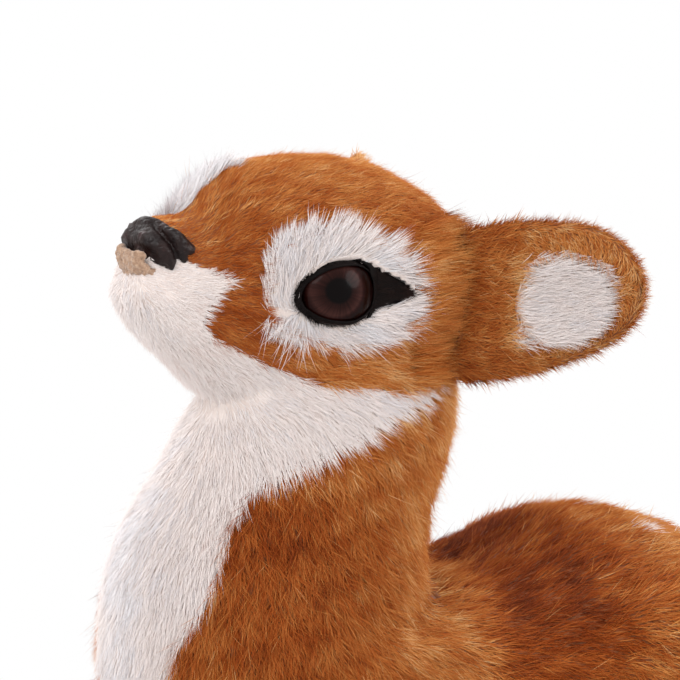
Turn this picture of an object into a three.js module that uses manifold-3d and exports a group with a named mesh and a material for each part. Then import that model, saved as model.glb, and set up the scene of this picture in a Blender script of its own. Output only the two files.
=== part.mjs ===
// A small furry fawn toy that lies with its legs folded, its head raised and its ears out.
// Panels of fur fabric are glued over a firm foam body. The eyes, nose and hooves are moulded.
// Millimetres. +Z is up, the fawn faces -Y and its left side is +X. The floor is z = 0, and the
// origin lies on the floor under the middle of the toy. Fur forms are sized to the fur's surface.

import * as THREE from "three";
import { mergeVertices } from "three/addons/utils/BufferGeometryUtils.js";
import Module from "manifold-3d";

// The head, measured level. Its reach is how far the chin stands in front of the eyes.
const HEAD_LENGTH = 63;
const HEAD_HEIGHT = 41;
const HEAD_WIDTH = 33;
const HEAD_REACH = 33.5;
const JAW_LIFT = 67;

// The neck and chest, from inside the belly to inside the skull.
const NECK_DEPTH = 62;
const NECK_WIDTH = 56;
const NECK_FOOT = 6;
const NECK_IN_HEAD = 15;
const CHEST_REACH = 35;

// The lying body, with a haunch and a shoulder on each side.
const TORSO_LENGTH = 126.4;
const TORSO_HEIGHT = 44.5;
const TORSO_WIDTH = 63;
const HAUNCH_LENGTH = 50;
const HAUNCH_HEIGHT = 37;
const HAUNCH_THICKNESS = 25;
const SHOULDER_LENGTH = 32;
const SHOULDER_HEIGHT = 38;
const SHOULDER_THICKNESS = 23;
const HAUNCH_LEAN_ANGLE = -12;
const SHOULDER_LEAN_ANGLE = 25;

// Fur fabric, the foam under it, and how far the floor flattens the underside.
const PELT = 3.5;
const GAP = 0.3;
const FLOOR_DEPTH = 0.5;
const BELLY_PANEL = 3;

// The dowel that joins the two foams.
const DOWEL_DIAMETER = 8;
const DOWEL_LENGTH = 40;

// The moulded face.
const EYE_DIAMETER = 13.4;
const EYE_DOME = 4.6;
const EYE_STANDS_OUT = 0.9;
const EYE_PEG_DIAMETER = 3;
const EYE_PEG_LENGTH = 6;
const EYELID_SUNK = 0.8;
const NOSE_LENGTH = 12;
const NOSE_HEIGHT = 8.8;
const NOSE_WIDTH = 14;
const NOSE_PAD_THICKNESS = 0.7;
const NOSE_PAD_WIDTH = 8.5;

// Ears and tail, and how far each flexes from rest, in degrees.
const EAR_LENGTH = 30.5;
const EAR_WIDTH = 25.6;
const EAR_THICKNESS = 8;
const EAR_SWEEP_ANGLE = 45;
const EAR_RISE_ANGLE = 10;
const RIGHT_EAR_LIFT = 2;
const RIGHT_EAR_PERK_ANGLE = 4;
const RIGHT_EAR_TURN_ANGLE = 26;
const EAR_FLEX_ANGLE = 15;
const LINING_LENGTH = 18.5;
const LINING_WIDTH = 16;
const LINING_THICKNESS = 1.5;
const SCOOP_DEPTH = 3.2;
const TAIL_LENGTH = 15;
const TAIL_WIDTH = 9.5;
const TAIL_THICKNESS = 7.5;
const TAIL_ROOT_DIAMETER = 8;
const TAIL_DROOP_ANGLE = 28;
const TAIL_FLEX_UP_ANGLE = 20;
const TAIL_FLEX_DOWN_ANGLE = 5;

// Legs and hooves.
const FOREARM_THICKNESS = 19;
const FORE_CANNON_THICKNESS = 10;
const HIND_CANNON_THICKNESS = 12;
const HOOF_LENGTH = 10.5;
const HOOF_WIDTH = 8.6;
const HOOF_CLEFT = 0.9;

// How finely the round forms are cut up.
const BODY_SIDES = 20;
const INNER_SIDES = 12;
const LIMB_SIDES = 10;
const LIMB_RINGS = 6;
const WELD = 1e-4;
const OVERRUN = 200;

const wasm = await Module();
wasm.setup();

// Places that follow from the sizes.
const headFront = -HEAD_REACH;
const neckTop = JAW_LIFT + NECK_IN_HEAD;
const torsoFront = -CHEST_REACH;
const beneath = -FLOOR_DEPTH;
const foamInset = PELT + GAP;

// Points given as shares of the head's length back from the chin and of its height above the jaw.
const onHead = ([along, up]) =>
  new THREE.Vector2(headFront + along * HEAD_LENGTH, JAW_LIFT + up * HEAD_HEIGHT);

// Points given as shares of the torso's half width, length and height.
const onTorso = ([across, along, up]) =>
  new THREE.Vector3((across * TORSO_WIDTH) / 2, torsoFront + along * TORSO_LENGTH, up * TORSO_HEIGHT);

// Rows between the rows set by hand, on a smooth curve through them.
function smoothRows(rows, count) {
  const curves = rows[0].map(
    (_, column) => new THREE.SplineCurve(rows.map((row, i) => new THREE.Vector2(i, row[column]))),
  );
  const rowAt = (t) => curves.map((curve) => curve.getPoint(t).y);
  return Array.from({ length: count }, (_, i) => rowAt(i / (count - 1)));
}

// The points of a round section: across goes both ways, rise upwards and drop downwards.
// A squareness over 2 fills out the corners.
function section(centre, acrossAxis, upAxis, across, rise, drop, sides, squareness = 2) {
  return Array.from({ length: sides }, (_, i) => {
    const turn = (2 * Math.PI * i) / sides;
    const squared = (v) => Math.sign(v) * Math.abs(v) ** (2 / squareness);
    const [c, s] = [squared(Math.cos(turn)), squared(Math.sin(turn))];
    return centre
      .clone()
      .addScaledVector(acrossAxis, across * c)
      .addScaledVector(upAxis, (s > 0 ? rise : drop) * s);
  });
}

// A closed skin over rings of equally many points, with a fan over each end and faces outwards.
function skinOver(rings) {
  const count = rings[0].length;
  const points = rings.flat();
  const faces = [];
  for (let r = 0; r + 1 < rings.length; r++)
    for (let i = 0; i < count; i++) {
      const [near, next] = [r * count + i, r * count + ((i + 1) % count)];
      faces.push([near, next, next + count], [near, next + count, near + count]);
    }
  for (const r of [0, rings.length - 1]) {
    const hub = points.length;
    points.push(rings[r].reduce((sum, p) => sum.add(p), new THREE.Vector3()).divideScalar(count));
    for (let i = 0; i < count; i++) {
      const rim = [r * count + i, r * count + ((i + 1) % count)];
      faces.push(r === 0 ? [rim[1], rim[0], hub] : [rim[0], rim[1], hub]);
    }
  }
  const sixVolumes = faces.reduce(
    (sum, [a, b, c]) => sum + points[a].dot(new THREE.Vector3().crossVectors(points[b], points[c])),
    0,
  );
  const geometry = new THREE.BufferGeometry().setFromPoints(points);
  geometry.setIndex(faces.flatMap(([a, b, c]) => (sixVolumes > 0 ? [a, b, c] : [a, c, b])));
  return geometry;
}

// A closed geometry as a solid that can be joined and cut.
function solidOf(geometry) {
  const bare = new THREE.BufferGeometry().setAttribute("position", geometry.getAttribute("position"));
  bare.setIndex(geometry.index);
  const merged = mergeVertices(bare, WELD);
  return new wasm.Manifold(
    new wasm.Mesh({
      numProp: 3,
      vertProperties: merged.attributes.position.array,
      triVerts: new Uint32Array(merged.index.array),
    }),
  );
}

const joined = (first, ...others) => others.reduce((sum, solid) => sum.add(solid), first);
const cutBy = (solid, ...cutters) => cutters.reduce((rest, cutter) => rest.subtract(cutter), solid);

// A box between two corners.
function box(low, high) {
  const size = high.clone().sub(low);
  const middle = low.clone().add(high).divideScalar(2);
  return solidOf(new THREE.BoxGeometry(size.x, size.y, size.z).translate(middle.x, middle.y, middle.z));
}

// A flat outline of (y, z) points drawn out along X.
function acrossX(outline, fromX = -OVERRUN, toX = OVERRUN) {
  const shape = outline instanceof THREE.Shape ? outline : new THREE.Shape(outline);
  const depth = toX - fromX;
  const geometry = new THREE.ExtrudeGeometry(shape, { depth, bevelEnabled: false, curveSegments: 6 });
  geometry.applyMatrix4(new THREE.Matrix4().makeBasis(Y, Z, X).setPosition(fromX, 0, 0));
  return solidOf(geometry);
}

// A smooth closed outline through (y, z) points, made larger all round by grow.
function roundOutline(points, grow = 0) {
  const middle = points.reduce((sum, p) => sum.add(p), new THREE.Vector2()).divideScalar(points.length);
  const curve = new THREE.CatmullRomCurve3(
    points.map((p) => {
      const out = p.clone().sub(middle).normalize();
      return new THREE.Vector3(p.x + grow * out.x, p.y + grow * out.y, 0);
    }),
    true,
  );
  const steps = 2 * points.length;
  return Array.from({ length: steps }, (_, i) => {
    const p = curve.getPoint(i / steps);
    return new THREE.Vector2(p.x, p.y);
  });
}

const floorCutter = box(
  new THREE.Vector3(-OVERRUN, -OVERRUN, -OVERRUN),
  new THREE.Vector3(OVERRUN, OVERRUN, 0),
);

const X = new THREE.Vector3(1, 0, 0);
const Y = new THREE.Vector3(0, 1, 0);
const Z = new THREE.Vector3(0, 0, 1);

// A half size made larger by grow, or smaller but never less than a share of itself.
const LEAST_SHARE = 0.08;
const grown = (reach, grow) => Math.max(reach + grow, reach * LEAST_SHARE);

// The hidden inner forms, which are shrunk, need fewer sides than the outer ones.
const isInner = (grow) => grow <= -PELT;
const sidesFor = (grow) => (isInner(grow) ? INNER_SIDES : BODY_SIDES);
const ringsFor = (count, grow) => (isInner(grow) ? Math.round((count * INNER_SIDES) / BODY_SIDES) : count);

// A form whose sections stand upright one behind another. A row gives shares along, for the top,
// bottom and half width, and for the height at which it is widest.
function uprightForm(rows, count, front, low, size, squareness, grow, sides = sidesFor(grow)) {
  const stretch = 1 + (2 * grow) / size.y;
  const middle = front + size.y / 2;
  const rings = smoothRows(rows, ringsFor(count, grow)).map(([along, top, bottom, wide, level]) => {
    const y = middle + (front + along * size.y - middle) * stretch;
    const z = low + level * size.z;
    const reaches = [(wide * size.x) / 2, (top - level) * size.z, (level - bottom) * size.z];
    const [across, rise, drop] = reaches.map((reach) => grown(reach, grow));
    return section(new THREE.Vector3(0, y, z), X, Z, across, rise, drop, sides, squareness);
  });
  return solidOf(skinOver(rings));
}

const headShares = [
  [0.0, 0.62, 0.51, 0.2, 0.57],
  [0.014, 0.68, 0.44, 0.36, 0.56],
  [0.046, 0.72, 0.36, 0.44, 0.49],
  [0.092, 0.76, 0.28, 0.52, 0.46],
  [0.154, 0.79, 0.19, 0.6, 0.46],
  [0.207, 0.84, 0.09, 0.69, 0.56],
  [0.27, 0.93, 0.04, 0.79, 0.6],
  [0.333, 0.985, 0.01, 0.88, 0.61],
  [0.437, 1.0, 0.0, 0.96, 0.6],
  [0.564, 1.0, 0.01, 1.0, 0.57],
  [0.69, 0.96, 0.03, 1.0, 0.54],
  [0.817, 0.87, 0.07, 0.92, 0.5],
  [0.912, 0.76, 0.11, 0.78, 0.45],
  [0.976, 0.63, 0.2, 0.53, 0.43],
  [1.0, 0.54, 0.3, 0.3, 0.42],
];
const headSize = new THREE.Vector3(HEAD_WIDTH, HEAD_LENGTH, HEAD_HEIGHT);
const headForm = (grow) => uprightForm(headShares, 16, headFront, JAW_LIFT, headSize, 2.15, grow);

const torsoShares = [
  [0.012, 0.72, 0.32, 0.2, 0.54],
  [0.03, 0.86, 0.14, 0.44, 0.5],
  [0.07, 1.0, 0.03, 0.67, 0.46],
  [0.145, 1.06, 0.0, 0.83, 0.43],
  [0.25, 1.03, 0.0, 0.92, 0.42],
  [0.365, 0.86, 0.0, 0.95, 0.41],
  [0.46, 0.81, 0.0, 0.94, 0.41],
  [0.54, 0.84, 0.0, 0.94, 0.41],
  [0.62, 0.91, 0.0, 0.97, 0.41],
  [0.7, 0.96, 0.0, 1.0, 0.41],
  [0.78, 0.93, 0.0, 0.98, 0.41],
  [0.86, 0.84, 0.0, 0.87, 0.39],
  [0.93, 0.71, 0.02, 0.67, 0.37],
  [0.975, 0.59, 0.1, 0.41, 0.355],
  [1.0, 0.48, 0.21, 0.19, 0.345],
];
const torsoSize = new THREE.Vector3(TORSO_WIDTH, TORSO_LENGTH, TORSO_HEIGHT + FLOOR_DEPTH);
const torsoForm = (grow) => uprightForm(torsoShares, 14, torsoFront, beneath, torsoSize, 2.3, grow);

// The neck's sections lie level one above another. A row gives shares upwards, for the front and
// back edges behind the chest's foremost point, and for the half width.
const neckShares = [
  [0.0, 0.09, 0.79, 0.86],
  [0.13, 0.02, 0.82, 0.98],
  [0.26, 0.0, 0.85, 1.0],
  [0.36, 0.0, 0.88, 0.96],
  [0.45, 0.01, 0.89, 0.89],
  [0.54, 0.04, 0.905, 0.8],
  [0.625, 0.1, 0.945, 0.73],
  [0.7, 0.165, 0.995, 0.68],
  [0.78, 0.22, 1.005, 0.63],
  [0.84, 0.27, 1.0, 0.59],
  [0.92, 0.32, 0.96, 0.52],
  [1.0, 0.4, 0.88, 0.38],
];

function neckForm(grow) {
  const height = neckTop - NECK_FOOT;
  const middle = NECK_FOOT + height / 2;
  const stretch = 1 + (2 * grow) / height;
  const rings = smoothRows(neckShares, ringsFor(11, grow)).map(([up, front, back, wide]) => {
    const z = middle + (NECK_FOOT + up * height - middle) * stretch;
    const depth = ((back - front) * NECK_DEPTH) / 2 + grow;
    const centre = new THREE.Vector3(0, torsoFront + ((front + back) / 2) * NECK_DEPTH, z);
    return section(centre, X, Y, (wide * NECK_WIDTH) / 2 + grow, depth, depth, sidesFor(grow));
  });
  return solidOf(skinOver(rings));
}

// A swelling on one side of the body, at a place given in shares of the torso.
function swelling(side, placeShare, thickness, length, height, lean, grow) {
  const ball = new THREE.SphereGeometry(1, 12, 7);
  ball.scale(thickness / 2 + grow, length / 2 + grow, height / 2 + grow);
  ball.rotateX(lean);
  const centre = onTorso(placeShare);
  ball.translate(side * centre.x, centre.y, centre.z);
  return solidOf(ball);
}
const haunchPlaceShare = [0.72, 0.77, 0.43];
const haunchForm = (side, grow) =>
  swelling(
    side,
    haunchPlaceShare,
    HAUNCH_THICKNESS,
    HAUNCH_LENGTH,
    HAUNCH_HEIGHT,
    THREE.MathUtils.degToRad(HAUNCH_LEAN_ANGLE),
    grow,
  );
const shoulderPlaceShare = [0.62, 0.27, 0.46];
const shoulderForm = (side, grow) =>
  swelling(
    side,
    shoulderPlaceShare,
    SHOULDER_THICKNESS,
    SHOULDER_LENGTH,
    SHOULDER_HEIGHT,
    THREE.MathUtils.degToRad(SHOULDER_LEAN_ANGLE),
    grow,
  );

// Everything behind the head, and the whole figure without its limbs.
const trunk = (grow) =>
  joined(
    torsoForm(grow),
    neckForm(grow),
    ...[1, -1].flatMap((side) => [haunchForm(side, grow), shoulderForm(side, grow)]),
  );
const figure = (grow) => joined(trunk(grow), headForm(grow));

// The nose, in shares of its own sizes, set in the top of the muzzle.
const noseShares = [
  [0.0, 0.7, 0.32, 0.36, 0.52],
  [0.07, 0.9, 0.12, 0.72, 0.53],
  [0.26, 1.0, 0.02, 0.97, 0.54],
  [0.54, 1.0, 0.02, 1.0, 0.55],
  [0.8, 0.96, 0.2, 0.82, 0.57],
  [1.0, 0.9, 0.46, 0.42, 0.64],
];
const nosePlaceShare = [0.04, 0.592];
const nosePlace = onHead(nosePlaceShare);
const noseSize = new THREE.Vector3(NOSE_WIDTH, NOSE_LENGTH, NOSE_HEIGHT);
const noseForm = (grow) => uprightForm(noseShares, 8, nosePlace.x, nosePlace.y, noseSize, 2.2, grow, 16);

// The patch of flock low on the front of the nose, as the space that it takes when it is grown.
const padReachShare = 0.42;
const padTopShare = 0.53;
function padSpace(grow) {
  const low = new THREE.Vector3(
    -NOSE_PAD_WIDTH / 2 - grow,
    nosePlace.x - OVERRUN,
    nosePlace.y - NOSE_HEIGHT,
  );
  const high = new THREE.Vector3(
    NOSE_PAD_WIDTH / 2 + grow,
    nosePlace.x + padReachShare * NOSE_LENGTH + grow,
    nosePlace.y + padTopShare * NOSE_HEIGHT + grow,
  );
  return noseForm(GAP + NOSE_PAD_THICKNESS + grow).intersect(box(low, high));
}

// An eye is a flattish dome with a peg behind it, looking out to the side.
const eyePlaceShare = [0.508, 0.505];
const eyePlace = onHead(eyePlaceShare);
function eyeForm(side, grow) {
  const [rim, peg, dome] = [EYE_DIAMETER / 2, EYE_PEG_DIAMETER / 2, EYE_DOME].map((size) => size + grow);
  const bow = Array.from({ length: 8 }, (_, i) => {
    const turn = (Math.PI / 2) * (i / 7);
    return new THREE.Vector2(i === 7 ? 0 : rim * Math.cos(turn), dome * Math.sin(turn));
  });
  const geometry = new THREE.LatheGeometry(
    [
      new THREE.Vector2(0, -EYE_PEG_LENGTH - grow),
      new THREE.Vector2(peg, -EYE_PEG_LENGTH - grow),
      new THREE.Vector2(peg, -grow),
      new THREE.Vector2(rim, -grow),
      ...bow,
    ].filter((point, i, points) => i === 0 || point.distanceTo(points[i - 1]) > WELD),
    14,
  );
  geometry.rotateZ((-side * Math.PI) / 2);
  geometry.translate(side * (HEAD_WIDTH / 2 + EYE_STANDS_OUT - EYE_DOME), eyePlace.x, eyePlace.y);
  return solidOf(geometry);
}

// The dark almond lid goes round the eye, in shares of the eye's diameter from its middle, and the
// white patch of fur goes round the lid.
const onEye = ([along, up]) =>
  new THREE.Vector2(eyePlace.x + along * EYE_DIAMETER, eyePlace.y + up * EYE_DIAMETER);
const lidShares = [
  [-0.621, -0.015],
  [-0.451, 0.245],
  [-0.16, 0.398],
  [0.179, 0.428],
  [0.616, 0.199],
  [1.03, -0.092],
  [0.663, -0.26],
  [0.08, -0.367],
  [-0.404, -0.26],
];
const patchShares = [
  [0.298, 0.51],
  [0.319, 0.67],
  [0.36, 0.82],
  [0.463, 0.86],
  [0.567, 0.855],
  [0.69, 0.77],
  [0.794, 0.62],
  [0.814, 0.47],
  [0.773, 0.35],
  [0.67, 0.26],
  [0.546, 0.23],
  [0.381, 0.36],
];
const lidOutline = lidShares.map(onEye);
const patchOutline = patchShares.map(onHead);

// A prism from the middle of the head outwards on one side.
function sidePrism(side, points, grow) {
  const outline = roundOutline(points, grow);
  return side > 0 ? acrossX(outline, 0, OVERRUN) : acrossX(outline, -OVERRUN, 0);
}

// Where the fur panels meet on the sides of the head, as shares of the head. The lower white edge
// on the neck runs on from the jaw's back end. Beside the nose the muzzle's edge keeps to the nose.
const onNose = ([along, up]) =>
  new THREE.Vector2(nosePlace.x + along * NOSE_LENGTH, nosePlace.y + up * NOSE_HEIGHT);
const besideNoseShares = [
  [-2.52, 0.69],
  [-0.05, 0.69],
];
const muzzleEdgeShares = [
  [0.15, 0.65],
  [0.257, 0.56],
  [0.267, 0.5],
  [0.164, 0.41],
];
const jawEdgeShares = [
  [0.319, 0.29],
  [0.494, 0.16],
  [0.701, 0.1],
  [0.845, 0.1],
];
const chinEdgeShares = [
  [0.226, 0.06],
  [-0.444, -0.15],
];
const bibEdgeShares = [
  [0.7, 0.0],
  [0.59, -0.1],
  [0.48, -0.17],
  [0.28, -0.17],
  [0.2, -0.32],
  [0.13, -0.55],
  [0.05, -0.75],
  [0.02, -0.95],
  [0.01, -1.2],
  [0.0, -1.75],
];
const withersEdgeShares = [
  [0.64, 1.2],
  [0.56, 1.15],
  [0.44, 0.97],
  [0.4, 0.6],
  [0.36, 0],
];
const onFlank = ([along, up]) => new THREE.Vector2(torsoFront + along * TORSO_LENGTH, up * TORSO_HEIGHT);

const muzzleEdge = [...besideNoseShares.map(onNose), ...muzzleEdgeShares.map(onHead)];
const jawEdge = jawEdgeShares.map(onHead);
const chinEdge = chinEdgeShares.map(onHead);
const bibEdge = bibEdgeShares.map(onHead);
const withersEdge = withersEdgeShares.map(onFlank);
const at = (y, z) => new THREE.Vector2(y, z);

// The outline of each fur panel seen from the side, and the edges that they share.
const [frontSide, rearSide, above, below] = [-OVERRUN, OVERRUN, OVERRUN, -OVERRUN];
const muzzleCorner = muzzleEdge[muzzleEdge.length - 1];
const jawEnd = jawEdge[jawEdge.length - 1];
const bibFoot = bibEdge[bibEdge.length - 1];
const withersFoot = withersEdge[withersEdge.length - 1];
const napeEdge = [jawEnd, at(rearSide, jawEnd.y)];
const cheekEdge = [muzzleCorner, chinEdge[0]];
const panelOutlines = {
  head: [
    at(frontSide, above),
    at(frontSide, muzzleEdge[0].y),
    ...muzzleEdge,
    ...jawEdge,
    ...napeEdge,
    at(rearSide, above),
  ],
  muzzle: [...muzzleEdge, ...chinEdge],
  bib: [
    muzzleCorner,
    ...jawEdge,
    ...bibEdge,
    at(bibFoot.x, below),
    at(frontSide, below),
    chinEdge[1],
    chinEdge[0],
  ],
  neck: [
    ...bibEdge,
    at(bibFoot.x, below),
    at(withersFoot.x, below),
    ...[...withersEdge].reverse(),
    ...[...napeEdge].reverse(),
  ],
  back: [...withersEdge, at(withersFoot.x, below), at(rearSide, below), at(rearSide, withersEdge[0].y)],
};

// A thin cut along a line of (y, z) points, as wide as a gap.
function seamAlong(points) {
  const strips = points.slice(1).map((end, i) => {
    const start = points[i];
    const along = end.clone().sub(start).normalize().multiplyScalar(GAP / 2);
    const across = at(-along.y, along.x);
    return acrossX([
      start.clone().sub(along).sub(across),
      end.clone().add(along).sub(across),
      end.clone().add(along).add(across),
      start.clone().sub(along).add(across),
    ]);
  });
  return joined(...strips);
}
const seams = joined(
  ...[
    muzzleEdge,
    [muzzleCorner, ...jawEdge, ...bibEdge],
    cheekEdge,
    chinEdge,
    withersEdge,
    napeEdge,
  ].map(seamAlong),
);

// An ear is built upright in its own frame: x is its width, y its open face and z its length.
const earShares = [
  [-0.2, -0.04, 0.98, 0.72],
  [0.0, -0.04, 1.04, 0.84],
  [0.15, -0.02, 1.06, 0.94],
  [0.35, 0.0, 1.04, 1.0],
  [0.55, 0.02, 0.98, 1.0],
  [0.74, 0.03, 0.86, 0.9],
  [0.88, 0.03, 0.66, 0.74],
  [0.96, 0.03, 0.43, 0.54],
  [1.0, 0.03, 0.18, 0.28],
];
const earRootShare = [0.881, 0.395];
const earRootAcrossShare = 0.8;
const scoopAlongShare = 0.59;
const scoopDropShare = 0.13;

function earFrame(side) {
  const unlike = [RIGHT_EAR_LIFT, RIGHT_EAR_PERK_ANGLE, RIGHT_EAR_TURN_ANGLE];
  const [lift, perk, turn] = side < 0 ? unlike : [0, 0, 0];
  const angles = [EAR_SWEEP_ANGLE - turn, EAR_RISE_ANGLE + perk];
  const [sweep, rise] = angles.map(THREE.MathUtils.degToRad);
  const flat = new THREE.Vector3(Math.cos(sweep), Math.sin(sweep), 0);
  const length = flat.clone().multiplyScalar(Math.cos(rise)).addScaledVector(Z, Math.sin(rise));
  const width = flat.clone().multiplyScalar(-Math.sin(rise)).addScaledVector(Z, Math.cos(rise));
  const face = new THREE.Vector3().crossVectors(length, width);
  const [y, z] = onHead(earRootShare).toArray();
  const root = new THREE.Vector3((earRootAcrossShare * HEAD_WIDTH) / 2, y, z + lift);
  for (const v of [length, width, face, root]) v.x *= side;
  return { length, width, face, root };
}

function earForm(side, grow) {
  const { length, width, face, root } = earFrame(side);
  const rings = smoothRows(earShares, 10).map(([along, shift, wide, thick]) => {
    const centre = root
      .clone()
      .addScaledVector(length, along * (EAR_LENGTH + grow))
      .addScaledVector(width, (shift * EAR_WIDTH) / 2);
    const half = (thick * EAR_THICKNESS) / 2 + grow;
    return section(centre, width, face, (wide * EAR_WIDTH) / 2 + grow, half, half, 12, 2.2);
  });
  return solidOf(skinOver(rings));
}

// The shallow bowl in the ear's open face, moved out of it by lift.
function scoopForm(side, grow, lift) {
  const { length, width, face, root } = earFrame(side);
  const bowl = new THREE.SphereGeometry(1, 12, 8);
  bowl.scale(LINING_WIDTH / 2 + grow, SCOOP_DEPTH + grow, LINING_LENGTH / 2 + grow);
  const centre = root
    .clone()
    .addScaledVector(length, scoopAlongShare * EAR_LENGTH)
    .addScaledVector(width, (-scoopDropShare * EAR_WIDTH) / 2)
    .addScaledVector(face, EAR_THICKNESS / 2 + lift);
  const across = new THREE.Vector3().crossVectors(face, length);
  return solidOf(bowl.applyMatrix4(new THREE.Matrix4().makeBasis(across, face, length).setPosition(centre)));
}

// The same solid turned about an axis through a point.
function turned(build, origin, axis, degrees) {
  const turn = new THREE.Matrix4().makeRotationAxis(axis, THREE.MathUtils.degToRad(degrees));
  const matrix = new THREE.Matrix4()
    .makeTranslation(origin.x, origin.y, origin.z)
    .multiply(turn)
    .multiply(new THREE.Matrix4().makeTranslation(-origin.x, -origin.y, -origin.z));
  return solidOf(geometryOf(build).applyMatrix4(matrix));
}

function geometryOf(solid) {
  const { numProp, vertProperties, triVerts } = solid.getMesh();
  const positions = new Float32Array((vertProperties.length / numProp) * 3);
  for (let i = 0; i < positions.length / 3; i++)
    positions.set(vertProperties.subarray(i * numProp, i * numProp + 3), i * 3);
  const geometry = new THREE.BufferGeometry();
  geometry.setAttribute("position", new THREE.BufferAttribute(positions, 3));
  geometry.setIndex(new THREE.BufferAttribute(new Uint32Array(triVerts), 1));
  return geometry;
}

// What a flexing piece must stay clear of: its carrier at rest and turned to both limits, halfway too.
const sweepOf = (carrier, origin, axis, low, high) =>
  [low, low / 2, 0, high / 2, high].map((degrees) => turned(carrier, origin, axis, degrees));

// The tail stands out from the rump on a round root in a pocket. A row gives shares along, of its
// half width and half thickness.
const tailShares = [
  [0.0, 0.8, 0.86],
  [0.25, 0.96, 1.0],
  [0.55, 1.0, 0.96],
  [0.78, 0.82, 0.76],
  [0.94, 0.5, 0.46],
  [1.0, 0.22, 0.22],
];
const tailRootShare = [0, 0.956, 0.57];
const tailRoot = onTorso(tailRootShare);
function tailForm() {
  const droop = THREE.MathUtils.degToRad(TAIL_DROOP_ANGLE);
  const direction = new THREE.Vector3(0, Math.cos(droop), -Math.sin(droop));
  const outward = new THREE.Vector3().crossVectors(direction, X);
  const rings = smoothRows(tailShares, 8).map(([along, wide, thick]) => {
    const centre = tailRoot.clone().addScaledVector(direction, along * TAIL_LENGTH);
    const half = (thick * TAIL_THICKNESS) / 2;
    return section(centre, X, outward, (wide * TAIL_WIDTH) / 2, half, half, LIMB_SIDES);
  });
  return solidOf(skinOver(rings));
}
function tailRootForm(grow) {
  const ball = new THREE.SphereGeometry(TAIL_ROOT_DIAMETER / 2 + grow, LIMB_SIDES, 8);
  return solidOf(ball.translate(tailRoot.x, tailRoot.y, tailRoot.z));
}

// A limb lies along places given as shares of the torso's half width and length, each with its
// height and its thickness as shares of the limb's thickness.
function limbCentres(side, placeShares, thickness) {
  return placeShares.map(([across, along, up]) => {
    const p = onTorso([across, along, 0]);
    return new THREE.Vector3(side * p.x, p.y, up * thickness);
  });
}

// Round ends are added past the first and last place.
function limbForm(side, placeShares, thickness, grow) {
  const curve = new THREE.CatmullRomCurve3(limbCentres(side, placeShares, thickness));
  const thickShares = smoothRows(
    placeShares.map((share) => [share[3]]),
    LIMB_RINGS,
  ).map((row) => row[0]);
  const sections = thickShares.map((share, i) => {
    const t = i / (LIMB_RINGS - 1);
    const radius = (share * thickness) / 2 + grow;
    return { centre: curve.getPoint(t), along: curve.getTangent(t), radius };
  });
  const cap = (end, way) =>
    [0.55, 0.9].map((reach) => ({
      centre: end.centre.clone().addScaledVector(end.along, way * reach * end.radius),
      along: end.along,
      radius: end.radius * Math.sqrt(1 - reach * reach),
    }));
  const all = [...cap(sections[0], -1).reverse(), ...sections, ...cap(sections[LIMB_RINGS - 1], 1)];
  return solidOf(
    skinOver(
      all.map(({ centre, along, radius }) => {
        const across = new THREE.Vector3().crossVectors(along, Z).normalize();
        const up = new THREE.Vector3().crossVectors(across, along);
        return section(centre, across, up, radius, radius, radius, LIMB_SIDES);
      }),
    ),
  );
}

const forearmShares = [
  [0.78, 0.335, 0.843, 1.0],
  [0.73, 0.19, 0.679, 0.9],
  [0.65, 0.065, 0.527, 0.76],
  [0.58, -0.02, 0.422, 0.66],
];
const foreCannonShares = [
  [0.75, -0.045, 0.512, 1.0],
  [0.94, 0.035, 0.481, 0.94],
  [1.1, 0.145, 0.445, 0.86],
  [1.17, 0.23, 0.423, 0.8],
];
const hindCannonShares = [
  [0.88, 0.96, 0.556, 1.0],
  [1.02, 0.865, 0.445, 0.86],
  [1.11, 0.74, 0.389, 0.74],
  [1.16, 0.62, 0.363, 0.68],
];

// A hoof carries on from the end of its cannon, in two claws with a cleft between them.
const hoofShares = [
  [-0.1, 0.8, 0.84],
  [0.1, 0.98, 0.98],
  [0.4, 1.0, 0.92],
  [0.75, 0.84, 0.66],
  [1.0, 0.56, 0.36],
];
const cleftStartShare = 0.5;
const cleftEndShare = 1.2;
function hoofForm(side, placeShares) {
  const [before, last] = limbCentres(side, placeShares, 0).slice(-2);
  const forward = last.clone().sub(before).setZ(0).normalize();
  const across = new THREE.Vector3().crossVectors(forward, Z);
  const heel = new THREE.Vector3(last.x, last.y, beneath);
  const rings = smoothRows(hoofShares, 5).map(([along, wide, high]) => {
    const centre = heel
      .clone()
      .addScaledVector(forward, along * HOOF_LENGTH)
      .addScaledVector(Z, (high * HOOF_WIDTH) / 2);
    const half = (high * HOOF_WIDTH) / 2;
    return section(centre, across, Z, (wide * HOOF_WIDTH) / 2, half, half, 10, 2.4);
  });
  const cleftLength = (cleftEndShare - cleftStartShare) * HOOF_LENGTH;
  const cleftMiddleShare = (cleftStartShare + cleftEndShare) / 2;
  const cleft = new THREE.BoxGeometry(HOOF_CLEFT, cleftLength, 2 * HOOF_WIDTH);
  const middle = heel.clone().addScaledVector(forward, cleftMiddleShare * HOOF_LENGTH);
  cleft.applyMatrix4(new THREE.Matrix4().makeBasis(across, forward, Z).setPosition(middle));
  return solidOf(skinOver(rings)).subtract(solidOf(cleft));
}

// Materials.
const finish = (color, roughness) => new THREE.MeshStandardMaterial({ color, roughness, metalness: 0 });
const brownFur = finish("#b8672d", 0.9);
const whiteFur = finish("#ece5e5", 0.9);
const blackMoulding = finish("#1f1a1c", 0.35);
const blackLeather = finish("#171415", 0.6);
const eyeGloss = finish("#2a120f", 0.08);
const brownFlock = finish("#97775b", 1);
const hoofMoulding = finish("#3a2b24", 0.5);
const foam = finish("#efe6cf", 0.95);
const wood = finish("#c9a878", 0.7);

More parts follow.
